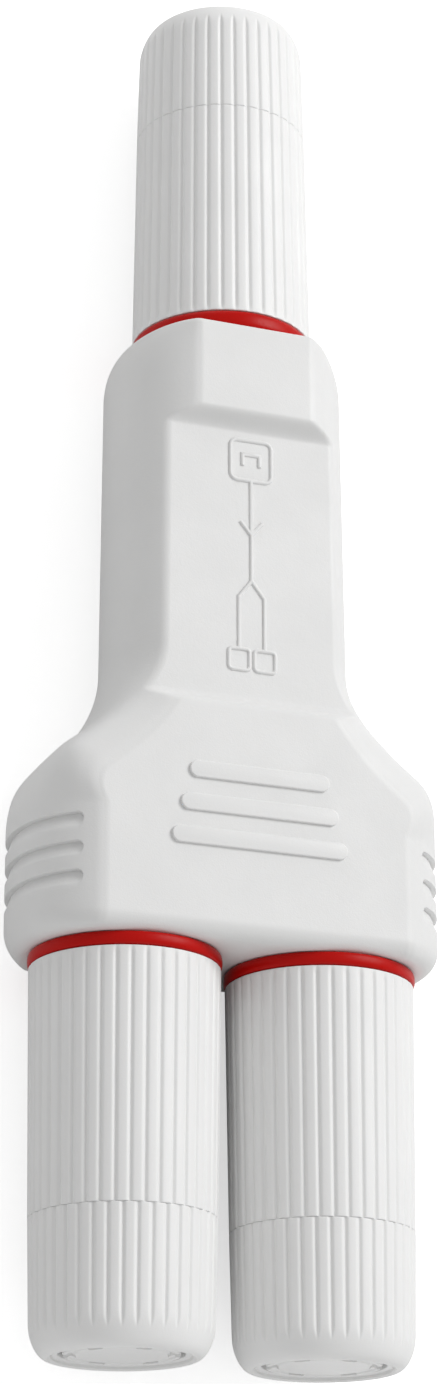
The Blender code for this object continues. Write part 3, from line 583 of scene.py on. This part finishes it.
def symbol_mesh():
    """A plain one-to-two diagram: a socket, a stem with an arrow, a fork and two sockets."""
    top, tip, fork, foot = 0.0276, 0.0150, 0.0072, -0.0057
    wide, small, branch = 0.0034, 0.0017, 0.0021
    tab, tab_low, tab_high = 0.0014, top - 0.0009, top + 0.0010
    arrow_reach, arrow_rise = 0.0018, 0.0022
    fork_overlap, fork_drop = 0.0002, 0.0026
    strokes = [
        (rounded_square(0.0, top, wide, 0.0011), True),
        (rounded_square(-branch, foot, small, 0.0006), True),
        (rounded_square(branch, foot, small, 0.0006), True),
        ([(-tab, tab_low), (-tab, tab_high), (tab, tab_high), (tab, tab_low)], False),
        ([(0.0, top - wide), (0.0, fork)], False),
        ([(-arrow_reach, tip + arrow_rise), (0.0, tip), (arrow_reach, tip + arrow_rise)], False),
    ]
    for x in (-branch, branch):
        prong = [(0.0, fork + fork_overlap), (x, fork - fork_drop), (x, foot + small)]
        strokes.append((prong, False))
    symbol = bead(*strokes[0])
    for path, closed in strokes[1:]:
        boolean(symbol, "UNION", bead(path, closed))
    return symbol


def raised_bar(y, half_length):
    """A low bar with round ends and a rounded top edge, standing on the front flat."""
    half = BAR_WIDTH / 2
    half_turn = np.radians(np.linspace(-90, 90, 19))
    outline = [(half_length - half, angle) for angle in half_turn]
    outline += [(half - half_length, angle + math.pi) for angle in half_turn]
    rings = [(half, HALF_DEPTH - BAR_HEIGHT)]
    for angle in np.radians(np.linspace(0, 90, 6)):
        rings.append((half - BAR_ROUNDING * (1 - math.cos(angle)),
                      HALF_DEPTH + BAR_HEIGHT - BAR_ROUNDING * (1 - math.sin(angle))))
    points = [(x + reach * math.cos(angle), y + reach * math.sin(angle), AXIS_Z + z)
              for reach, z in rings for x, angle in outline]
    faces = grid_faces(len(rings), len(outline), wrap_columns=True)
    faces += [list(range(len(outline))), list(range(len(points) - len(outline), len(points)))]
    return mesh_object("bar", points, faces)


def match_rows(grid, rows):
    """The same grid with another number of rows, spread evenly along it."""
    at = np.linspace(0, len(grid) - 1, rows)
    low = np.minimum(at.astype(int), len(grid) - 2)
    share = (at - low)[:, None, None]
    return grid[low] * (1 - share) + grid[low + 1] * share


def threaded_tube(name, radius, rise, depth, bore, start, end, thread_start, sides=96):
    """A tube with an outside thread that runs out at its foot and fades at its tip."""
    tip_cut, bore_cut = 0.0004, 0.0002
    steepness, root = 3.4, 0.35       # of the flanks, and how wide the thread's root is
    heights = np.arange(thread_start - rise / 2, end - RUN_GAP, rise / THREAD_SLICES)

    def cut(r, height, angles):
        if r < (radius + bore) / 2:
            return np.full(sides, r)
        phase = (height / rise - angles / (2 * math.pi)) % 1.0
        ridge = smooth_step(np.abs(phase - 0.5) * steepness - root)
        share = smooth_step((height - thread_start) / rise + 0.5)
        return r - depth * (1 - ridge) * share

    profile = [(radius, h) for h in [start, *heights]]
    profile += [(radius - tip_cut, end), (bore + bore_cut, end), (bore, end - bore_cut),
                (bore, start)]
    return turned(name, profile, sides, cut)


# ---- Materials ---------------------------------------------------------------------------------
def nodes_of(name):
    mat = bpy.data.materials.new(name)
    mat.use_nodes = True
    tree = mat.node_tree
    return mat, tree, tree.nodes["Principled BSDF"]


def new_node(tree, kind, **values):
    """A node with some of its settings and sockets filled in; a socket value may be an output."""
    node = tree.nodes.new(kind)
    for key, value in values.items():
        if hasattr(node, key):
            setattr(node, key, value)
            continue
        socket = node.inputs[key.replace("_", " ")]
        if isinstance(value, bpy.types.NodeSocket):
            tree.links.new(value, socket)
        else:
            socket.default_value = value
    return node


def noise(tree, place, scale, detail=3.0, roughness=0.55):
    node = new_node(tree, "ShaderNodeTexNoise", Scale=scale, Detail=detail, Roughness=roughness)
    tree.links.new(place, node.inputs["Vector"])
    return node.outputs["Fac"]


def remap(tree, value, low, high, to_low, to_high):
    node = new_node(tree, "ShaderNodeMapRange", From_Min=low, From_Max=high,
                    To_Min=to_low, To_Max=to_high)
    tree.links.new(value, node.inputs["Value"])
    return node.outputs["Result"]


def mix_color(tree, share, first, second):
    node = tree.nodes.new("ShaderNodeMix")
    node.data_type = "RGBA"
    for index, value in ((0, share), (6, first), (7, second)):
        socket = node.inputs[index]
        if isinstance(value, bpy.types.NodeSocket):
            tree.links.new(value, socket)
        else:
            socket.default_value = (*value, 1.0) if isinstance(value, tuple) else value
    return node.outputs[2]


def math_node(tree, operation, first, second):
    node = tree.nodes.new("ShaderNodeMath")
    node.operation = operation
    for socket, value in zip(node.inputs, (first, second)):
        if isinstance(value, bpy.types.NodeSocket):
            tree.links.new(value, socket)
        else:
            socket.default_value = value
    return node.outputs[0]


def bump(tree, height, distance, strength=1.0, normal=None):
    node = new_node(tree, "ShaderNodeBump", Strength=strength, Distance=distance)
    tree.links.new(height, node.inputs["Height"])
    if normal is not None:
        tree.links.new(normal, node.inputs["Normal"])
    return node.outputs["Normal"]


def moulded(name, color, dust_and_shade, roughness, grain, grain_height, soft=0.0, gleam=0.5):
    """Moulded plastic or rubber: fine spark grain, slow colour and gloss variation, edges polished
    by handling, and a second colour in the grooves: dust where it is lighter than the base
    colour, and painted shade, with some dust, where it is darker."""
    mat, tree, shader = nodes_of(name)
    place = new_node(tree, "ShaderNodeTexCoord").outputs["Object"]
    cloud = noise(tree, place, 90.0, 4.0)
    fine = noise(tree, place, grain, 2.0, 0.5)
    specks = noise(tree, place, grain * 0.31, 3.0, 0.6)
    edge = new_node(tree, "ShaderNodeNewGeometry").outputs["Pointiness"]
    groove = remap(tree, edge, 0.43, 0.49, 1.0, 0.0)
    worn = remap(tree, edge, 0.52, 0.60, 0.0, 1.0)
    tinted = mix_color(tree, remap(tree, cloud, 0.35, 0.65, 0.0, 0.5), color,
                       tuple(c * 0.965 for c in color))
    # Hollows lean towards the second colour. On the red rubber it is a much darker red, which is
    # painted shade. On the white plastics it is a darker grey, part dust and part painted shade. On
    # the black rubber and dark plastic it is a lighter grey, which is dust.
    crevice_dust_and_shade = math_node(tree, "MULTIPLY", groove, remap(tree, specks, 0.35, 0.7, 0.25, 0.8))
    shaded = mix_color(tree, math_node(tree, "MULTIPLY", crevice_dust_and_shade, 0.22), tinted, dust_and_shade)
    tree.links.new(shaded, shader.inputs["Base Color"])
    gloss = remap(tree, cloud, 0.3, 0.7, roughness - 0.05, roughness + 0.06)
    gloss = math_node(tree, "SUBTRACT", gloss, math_node(tree, "MULTIPLY", worn, 0.10))
    gloss = math_node(tree, "ADD", gloss, remap(tree, fine, 0.3, 0.7, -0.03, 0.03))
    tree.links.new(gloss, shader.inputs["Roughness"])
    normal = bump(tree, fine, grain_height, 0.55)
    normal = bump(tree, specks, grain_height * 1.6, 0.35, normal)
    tree.links.new(normal, shader.inputs["Normal"])
    shader.inputs["Specular IOR Level"].default_value = gleam
    if soft:
        shader.inputs["Subsurface Weight"].default_value = soft
        shader.inputs["Subsurface Radius"].default_value = (1.0, 0.9, 0.8)
        shader.inputs["Subsurface Scale"].default_value = 0.0006
    return mat


def metal(name, color, roughness, stretch):
    """Drawn or plated metal, with fine scratches along one axis and cloudy gloss."""
    mat, tree, shader = nodes_of(name)
    place = new_node(tree, "ShaderNodeTexCoord").outputs["Object"]
    mapping = new_node(tree, "ShaderNodeMapping")
    mapping.inputs["Scale"].default_value = stretch
    tree.links.new(place, mapping.inputs["Vector"])
    lines = noise(tree, mapping.outputs["Vector"], 900.0, 3.0)
    cloud = noise(tree, place, 350.0, 3.0)
    tree.links.new(mix_color(tree, remap(tree, cloud, 0.3, 0.7, 0.0, 1.0), color,
                             tuple(c * 0.82 for c in color)), shader.inputs["Base Color"])
    shader.inputs["Metallic"].default_value = 1.0
    tree.links.new(remap(tree, lines, 0.3, 0.7, roughness - 0.08, roughness + 0.14),
                   shader.inputs["Roughness"])
    tree.links.new(bump(tree, lines, 0.00002, 0.5), shader.inputs["Normal"])
    return mat


def board_material():
    """Green solder mask with copper tracks showing through."""
    mat, tree, shader = nodes_of("board_green")
    place = new_node(tree, "ShaderNodeTexCoord").outputs["Object"]
    cells = new_node(tree, "ShaderNodeTexVoronoi", distance="CHEBYCHEV", feature="DISTANCE_TO_EDGE")
    cells.inputs["Scale"].default_value = 420.0
    tree.links.new(place, cells.inputs["Vector"])
    track = remap(tree, cells.outputs["Distance"], 0.06, 0.10, 1.0, 0.0)
    weave = noise(tree, place, 2600.0, 2.0)
    green = mix_color(tree, remap(tree, weave, 0.3, 0.7, 0.0, 1.0), (0.012, 0.11, 0.035),
                      (0.018, 0.15, 0.05))
    tree.links.new(mix_color(tree, track, green, (0.03, 0.24, 0.08)), shader.inputs["Base Color"])
    tree.links.new(remap(tree, weave, 0.3, 0.7, 0.28, 0.40), shader.inputs["Roughness"])
    tree.links.new(bump(tree, track, 0.00004, 0.7), shader.inputs["Normal"])
    return mat


# The second colour of each goes into its grooves: painted shade on the red rubber, part dust and
# part painted shade on the white plastics, and dust on the black rubber and dark plastic.
WHITE = moulded("white_plastic", color=(0.79, 0.79, 0.785), dust_and_shade=(0.60, 0.59, 0.57),
                roughness=0.50, grain=4200.0, grain_height=0.00003, soft=0.06)
GLAND_WHITE = moulded("white_plastic_glands", color=(0.85, 0.85, 0.845), dust_and_shade=(0.66, 0.65, 0.63),
                      roughness=0.46, grain=4200.0, grain_height=0.00003, soft=0.06)
RED = moulded("red_rubber", color=(0.50, 0.004, 0.002), dust_and_shade=(0.12, 0.002, 0.001),
              roughness=0.34, grain=2600.0, grain_height=0.00003, gleam=0.13)
BLACK = moulded("black_rubber", color=(0.022, 0.022, 0.023), dust_and_shade=(0.06, 0.058, 0.055),
                roughness=0.62, grain=2600.0, grain_height=0.00004)
DARK = moulded("dark_plastic", color=(0.030, 0.030, 0.034), dust_and_shade=(0.07, 0.07, 0.068),
               roughness=0.45, grain=3600.0, grain_height=0.00003)
STEEL = metal("steel", color=(0.62, 0.62, 0.60), roughness=0.28, stretch=(1.0, 1.0, 0.06))
GOLD = metal("gold", color=(0.83, 0.60, 0.22), roughness=0.22, stretch=(1.0, 0.08, 1.0))
BOARD = board_material()


# ---- Housing pieces ----------------------------------------------------------------------------
def make_cover():
    flare, past = 0.0005, 0.00025     # of a screw seat's mouth, and how far it runs out
    levels = height_levels(-LEVEL_TOP, PARTING - SEAL_GAP, True)[::-1]
    grid = body_grid(levels, flat_shares(False), True)
    rows, columns = grid.shape[:2]
    faces = grid_faces(rows, columns)
    for row in (0, rows - 1):
        faces += strip_faces(row * columns, columns)
    for i in range(rows - 1):
        a, b = i * columns, (i + 1) * columns
        faces.append((a, b, b + columns - 1, a + columns - 1))
    cover = mesh_object("rear_cover_shell", grid.reshape(-1, 3), faces)
    for x, y in COVER_SCREWS:
        for sign in (-1, 1):
            seat = turned("seat", fillet([
                (0.0, AXIS_Z + COVER_SCREW_SEAT), (SEAT_RADIUS, AXIS_Z + COVER_SCREW_SEAT),
                (SEAT_RADIUS, past), (SEAT_RADIUS + flare, -past), (0.0, -past)]), 64)
            seat.data.transform(Matrix.Translation((sign * x, y, 0.0)))
            boolean(cover, "DIFFERENCE", seat)
    return cover


# ---- Gland pieces, each with +Z out of the port ------------------------------------------------
SEAM_ROUNDING = 0.00032               # sleeve and cap edges at their ends
SEAM_GAP = 0.00004
FOOT_RIB_SHARE = 0.30                 # of the ribs' full depth, where a sleeve meets its gasket
FOOT_RIB_RISE = 0.0013                # over which they reach it
RIB_BLEND = 0.00012                   # how softly the ribs run out into a rounded edge
RIB_ROUNDNESS = 0.24                  # share of the ribs' depth in the curve of their crowns
RIB_GROOVE = 0.24                     # half width of the groove, in shares of the rib spacing
RIB_START = 0.20                      # place of the first rib, in shares of their spacing
BORE_CUT = 0.0005                     # edge cut of the sleeve's bore
CAGE_WAY_CUT = (0.0002, 0.0006)       # of its bore for the cage: across and along
SPIGOT_THREAD_DEPTH = 0.0007
SPIGOT_NECK = 0.0024                  # plain length at the foot of the spigot's thread
NOSE_THREAD_DEPTH = 0.00055
NOSE_NECK = 0.0012
NOSE_OVERLAP = 0.0030                 # of the nose, inside the sleeve
CAP_TURNS = {"input": 0.0, "output_left": 4.1, "output_right": 2.6}     # degrees, as tightened
CAP_LIP = 0.00038                     # rounding of the mouth's rim
CAP_BORE_CUT = 0.0006
NOTCH_COUNT = 6
NOTCH_SIZE = (0.0040, 0.0026, 0.0018)         # across, round and along the plug
NOTCH_ROUNDING = 0.0004
NOTCH_START = 0.3                     # place of the first notch, in shares of their spacing
RING_GROOVE = (0.0017, 0.0007, 0.00030)       # in the plug's face: from its rim, to it, and depth
GASKET_BULGE = 0.0007
GASKET_POWERS = (0.7, 0.8)            # of its rim's curve, outwards and along; below 1 is squarer
WASHER_ROUNDING = 0.00018
RIB_SAMPLES = np.array([0.0, 0.10, 0.19, 0.26, 0.32, 0.37, 0.42, 0.46, 0.5, 0.54, 0.58, 0.63,
                        0.68, 0.74, 0.81, 0.90])


def rib_angles():
    ribs = np.arange(RIB_COUNT)[:, None] + RIB_SAMPLES[None, :] + RIB_START
    return (ribs * 2 * math.pi / RIB_COUNT).ravel(), np.tile(RIB_SAMPLES, RIB_COUNT)


def rib_drop(share):
    """Depth below the rib's crown: a rounded crown and a narrow groove."""
    crown = RIB_ROUNDNESS * np.abs(2 * (share + 0.5) % 2 - 1) ** 2
    valley = (1 - RIB_ROUNDNESS) * smooth_step((RIB_GROOVE - np.abs(share - 0.5)) / RIB_GROOVE)
    return RIB_DEPTH * (crown + valley)


def ribbed_ring(name, rings):
    """A closed ring solid from (radius, height, limit, depth) rings. A ring with a limit carries
    ribs, cut off at that radius and of that share of their full depth, and any other is round."""
    angles, share = rib_angles()
    drop = rib_drop(share)
    points = []
    for radius, height, *ribs in rings:
        reach = np.full(len(angles), radius)
        if ribs:
            reach = smooth_min(radius - drop * ribs[1], ribs[0], RIB_BLEND)
        points += zip(reach * np.cos(angles), reach * np.sin(angles), np.full(len(angles), height))
    faces = grid_faces(len(rings), len(angles), wrap_columns=True, wrap_rows=True)
    return mesh_object(name, points, faces)


def edge_limit(distance, rounding):
    """How far a rounded edge has dropped at a distance from the end."""
    share = np.clip((rounding - distance) / rounding, 0.0, 1.0)
    return rounding * (1 - math.sqrt(1 - share * share))


def sleeve_mesh():
    taper = (SEAM_RADIUS - SLEEVE_BASE_RADIUS) / (SLEEVE_END - SLEEVE_START)
    rings = []
    near_end = SEAM_ROUNDING * (1 - np.cos(np.linspace(0, math.pi / 2, 7)))
    heights = [
        *(SLEEVE_START + near_end), *np.linspace(SLEEVE_START + 0.0005, SLEEVE_START + 0.0015, 5),
        *np.linspace(SLEEVE_START + 0.003, SLEEVE_END - 0.001, 12), *(SLEEVE_END - near_end[::-1]),
    ]
    for height in heights:
        radius = SLEEVE_BASE_RADIUS + taper * (height - SLEEVE_START)
        drop = edge_limit(min(height - SLEEVE_START, SLEEVE_END - height), SEAM_ROUNDING)
        risen = smooth_step((height - SLEEVE_START) / FOOT_RIB_RISE)
        deep = FOOT_RIB_SHARE + (1 - FOOT_RIB_SHARE) * risen
        rings.append((radius, height, radius - drop + RIB_BLEND, deep))
    bore = SPIGOT_RADIUS + RUN_GAP
    cage_way = CAGE[0] + RUN_GAP
    across, along = CAGE_WAY_CUT
    rings += [(NOSE_RADIUS - BORE_CUT, SLEEVE_END), (cage_way + across, SLEEVE_END - across),
              (cage_way, SLEEVE_END - along), (cage_way, SPIGOT_WAY_END), (bore, SPIGOT_WAY_END),
              (bore, SLEEVE_START + BORE_CUT), (bore + BORE_CUT, SLEEVE_START)]
    sleeve = ribbed_ring("sleeve", rings)
    nose = threaded_tube("nose", NOSE_RADIUS, CAP_THREAD, NOSE_THREAD_DEPTH, cage_way,
                         SLEEVE_END - NOSE_OVERLAP, NOSE_END, SLEEVE_END + NOSE_NECK)
    boolean(sleeve, "UNION", nose)
    return sleeve


def cap_mesh():
    taper = (CAP_FACE_RADIUS - SEAM_RADIUS) / (CAP_END - CAP_START)
    across, along = CAP_SHOULDER
    shoulder = CAP_END - along
    start = SLEEVE_END + SEAM_GAP
    near_start = start + SEAM_ROUNDING * (1 - np.cos(np.linspace(0, math.pi / 2, 7)))
    over = shoulder + along * np.sin(np.linspace(0, math.pi / 2, 26))
    rings = []
    for height in [*near_start, *np.linspace(start + 0.001, shoulder - 0.001, 6), *over]:
        radius = CAP_FACE_RADIUS + taper * (height - CAP_END)
        limit = radius - edge_limit(height - start, SEAM_ROUNDING) + RIB_BLEND
        limit -= quarter_drop(height - shoulder, along, across)
        rings.append((radius, height, limit, 1.0))
    ledge = PLUG_FACE - PLUG_STEP
    seat = WASHER[3] + RUN_GAP
    bore = NOSE_RADIUS + RUN_GAP
    rings += fillet([
        (CAP_MOUTH_RADIUS, CAP_END, CAP_LIP), (CAP_MOUTH_RADIUS, ledge, 0.0001),
        (CAP_HOLE_RADIUS, ledge, 0.0002), (CAP_HOLE_RADIUS, seat + CAP_SEAT_SLOPE, 0.0002),
        (bore, seat), (bore, start + CAP_BORE_CUT), (bore + CAP_BORE_CUT, start)], 3)
    return ribbed_ring("cap", rings)


def gasket_mesh():
    radius, bore, start, end = GASKET
    middle, half = (start + end) / 2, (end - start) / 2
    outward, along = GASKET_POWERS
    turns = np.linspace(math.pi / 2, -math.pi / 2, 17)
    profile = [(radius - GASKET_BULGE + GASKET_BULGE * abs(math.cos(t)) ** outward,
                middle + half * math.copysign(abs(math.sin(t)) ** along, math.sin(t)))
               for t in turns]
    profile += [(bore, start), (bore, end)]
    return turned("gasket", profile, 160)


def lean_gasket(gasket):
    """Thicken the input gasket's front half so that it follows the leaning end face."""
    _, _, start, end = GASKET
    for vertex in gasket.data.vertices:
        low = (end - vertex.co.z) / (end - start)
        vertex.co.z -= low * CROWN_LEAN * max(-vertex.co.y, 0.0) / HALF_DEPTH


def cage_mesh():
    radius, bore, start, end = CAGE
    cage = turned("cage", fillet([(radius, end, 0.0006), (radius, start, 0.0002), (bore, start),
                                  (bore, end, 0.0002)]), 120)
    for index in range(SLIT_COUNT):
        bpy.ops.mesh.primitive_cube_add(size=1, location=(0.0, 0.0, end))
        slit = bpy.context.object
        slit.data.transform(Matrix.Diagonal((SLIT_WIDTH, 3 * radius, 2 * FINGER_LENGTH, 1.0)))
        slit.rotation_euler = (0.0, 0.0, math.pi / SLIT_COUNT * (index + 0.5))
        boolean(cage, "DIFFERENCE", slit)
    return cage


def grommet_mesh():
    narrow, waist = GROMMET_WAIST
    return turned("grommet", fillet([
        (GROMMET_TIP_RADIUS - GROMMET_DRAFT, GROMMET_END, 0.0005), (GROMMET_TIP_RADIUS, waist),
        (GROMMET_RADIUS, narrow, 0.0003), (GROMMET_RADIUS, GROMMET_START, 0.0004),
        (CABLE_BORE, GROMMET_START, 0.0003), (CABLE_BORE, GROMMET_END, 0.0006)]), 120)


def washer_mesh():
    outer, inner, start, end = WASHER
    corners = ((outer, end), (outer, start), (inner, start), (inner, end))
    return turned("washer", fillet([(*corner, WASHER_ROUNDING) for corner in corners], 3), 120)


def plug_mesh():
    """Blanking plug: a disc with pry notches in its edge, on a stem."""
    stem = CABLE_BORE - RUN_GAP
    inner, outer = PLUG_RADIUS - RING_GROOVE[0], PLUG_RADIUS - RING_GROOVE[1]
    slope = 0.0002                    # across each wall of the groove
    floor = PLUG_FACE - RING_GROOVE[2]
    plug = turned("plug", fillet([
        (0.0, PLUG_FACE), (inner, PLUG_FACE, 0.0003), (inner + slope, floor, 0.00012),
        (outer - slope, floor, 0.00012), (outer, PLUG_FACE, 0.0001),
        (PLUG_RADIUS, PLUG_FACE, 0.0003), (PLUG_RADIUS, PLUG_UNDERSIDE, 0.0002),
        (stem, PLUG_UNDERSIDE, 0.0004), (stem, STEM_END, 0.0012), (0.0, STEM_END)]), 144)
    for index in range(NOTCH_COUNT):
        bpy.ops.mesh.primitive_cube_add(size=1)
        notch = bpy.context.object
        notch.data.transform(Matrix.Diagonal((*NOTCH_SIZE, 1.0)))
        rounding = notch.modifiers.new("rounding", "BEVEL")
        rounding.width = NOTCH_ROUNDING
        rounding.segments = 3
        spin = Matrix.Rotation(math.tau * (index + NOTCH_START) / NOTCH_COUNT, 4, "Z")
        notch.matrix_world = spin @ Matrix.Translation((PLUG_RADIUS, 0.0, PLUG_FACE))
        boolean(plug, "DIFFERENCE", notch)
    return plug


def place_copies(mesh_name, source, mat, slot, body_part):
    """Set a gland piece at each port, on that port's body."""
    for port, (x, sign) in PORTS.items():
        obj = bpy.data.objects.new(f"{port}_{mesh_name}_surface", source.data)
        bpy.context.scene.collection.objects.link(obj)
        if (port, mesh_name) == ("input", "gasket"):
            obj.data = source.data.copy()
            lean_gasket(obj)
        turn = CAP_TURNS[port] if mesh_name in ("cap", "blanking_plug") else 0.0
        obj.matrix_world = along_port(x, sign) @ Matrix.Rotation(math.radians(turn), 4, "Z")
        body = body_part if body_part == "body" else f"{port}_{body_part}"
        piece(obj, body, mat, slot, f"{port}_{mesh_name}")
    bpy.data.objects.remove(source, do_unlink=True)


def make_glands():
    place_copies("gasket", gasket_mesh(), RED, "red_rubber", "body")
    place_copies("sleeve", sleeve_mesh(), GLAND_WHITE, "white_plastic", "sleeve_body")
    place_copies("claw_cage", cage_mesh(), GLAND_WHITE, "white_plastic", "carrier")
    place_copies("grommet", grommet_mesh(), BLACK, "black_rubber", "carrier")
    place_copies("slip_washer", washer_mesh(), DARK, "dark_plastic", "washer")
    place_copies("cap", cap_mesh(), GLAND_WHITE, "white_plastic", "cap_body")
    place_copies("blanking_plug", plug_mesh(), GLAND_WHITE, "white_plastic", "plug")


# ---- Floor, light and camera -------------------------------------------------------------------
FLOOR_GLOW = 0.58                     # lifts the paper to white for the camera only
SKY_STRENGTH = 0.50
LIGHTS = (                            # name, direction, distance, size and power
    ("key", (0.60, 0.40, 0.72), 1.3, 0.7, 9.4),
    ("top", (-0.25, 1.0, 0.25), 1.3, 0.9, 2.0),
    ("bottom", (0.1, -1.0, 0.35), 1.3, 0.9, 2.0),
)
CAMERA_TURN = (-21.12, 20.56, -0.16)  # yaw, pitch and roll, degrees
CAMERA_TARGET = (-0.00034, -0.00639, AXIS_Z)
CAMERA_DISTANCE = 0.51037
CAMERA_LENS, CAMERA_SENSOR = 85.28, 36.0      # focal length and sensor width, mm


def make_floor():
    bpy.ops.mesh.primitive_plane_add(size=8.0, location=(0.0, 0.0, 0.0))
    floor = bpy.context.object
    floor.name = "floor"
    mat, tree, shader = nodes_of("floor_paper")
    place = new_node(tree, "ShaderNodeTexCoord").outputs["Object"]
    cloud = noise(tree, place, 12.0, 4.0)
    tree.links.new(mix_color(tree, cloud, (0.84, 0.84, 0.84), (0.87, 0.87, 0.87)),
                   shader.inputs["Base Color"])
    shader.inputs["Roughness"].default_value = 0.9
    shader.inputs["Specular IOR Level"].default_value = 0.1
    seen = new_node(tree, "ShaderNodeLightPath").outputs["Is Camera Ray"]
    shader.inputs["Emission Color"].default_value = (1.0, 1.0, 1.0, 1.0)
    glow = math_node(tree, "MULTIPLY", seen, FLOOR_GLOW)
    tree.links.new(glow, shader.inputs["Emission Strength"])
    floor.data.materials.append(mat)


def area_light(name, direction, distance, size, power):
    """A soft box that faces the object from a direction."""
    data = bpy.data.lights.new(name, "AREA")
    data.shape = "DISK"
    data.size = size
    data.energy = power
    light = bpy.data.objects.new(name, data)
    bpy.context.scene.collection.objects.link(light)
    toward = Vector(direction).normalized()
    light.location = toward * distance
    light.rotation_mode = "QUATERNION"
    light.rotation_quaternion = toward.to_track_quat("Z", "Y")


def make_studio():
    world = bpy.data.worlds.new("studio")
    bpy.context.scene.world = world
    world.use_nodes = True
    background = world.node_tree.nodes["Background"]
    background.inputs["Color"].default_value = (1.0, 1.0, 1.0, 1.0)
    background.inputs["Strength"].default_value = SKY_STRENGTH
    for light in LIGHTS:
        area_light(*light)
    bpy.context.scene.view_settings.view_transform = "Standard"
    bpy.context.scene.view_settings.look = "None"


def make_camera():
    """The viewpoint: in front of the part, below and to the left of it."""
    turn = Matrix.Identity(4)
    for angle, axis in zip(CAMERA_TURN, "YXZ"):
        turn = turn @ Matrix.Rotation(math.radians(angle), 4, axis)
    data = bpy.data.cameras.new("camera")
    data.sensor_width = CAMERA_SENSOR
    data.lens = CAMERA_LENS
    camera = bpy.data.objects.new("camera", data)
    bpy.context.scene.collection.objects.link(camera)
    place = Vector(CAMERA_TARGET) + turn.col[2].to_3d() * CAMERA_DISTANCE
    camera.matrix_world = Matrix.Translation(place) @ turn
    bpy.context.scene.camera = camera


piece(make_housing(), "body", WHITE, "white_plastic", "housing")
piece(make_cover(), "body", WHITE, "white_plastic", "rear_cover")
make_glands()

# the rest are CAD nodes carried over: the screws, the cover gasket and the electronics
FINISHES = (("screw", STEEL), ("shield", STEEL), ("capacitor", STEEL), ("contacts", GOLD),
            ("board", BOARD), ("cover_gasket", RED))
for node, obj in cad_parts.items():
    if obj.hide_render:
        continue
    obj.data.materials.clear()
    obj.data.materials.append(next((mat for word, mat in FINISHES if word in node), DARK))

make_floor()
make_studio()
make_camera()
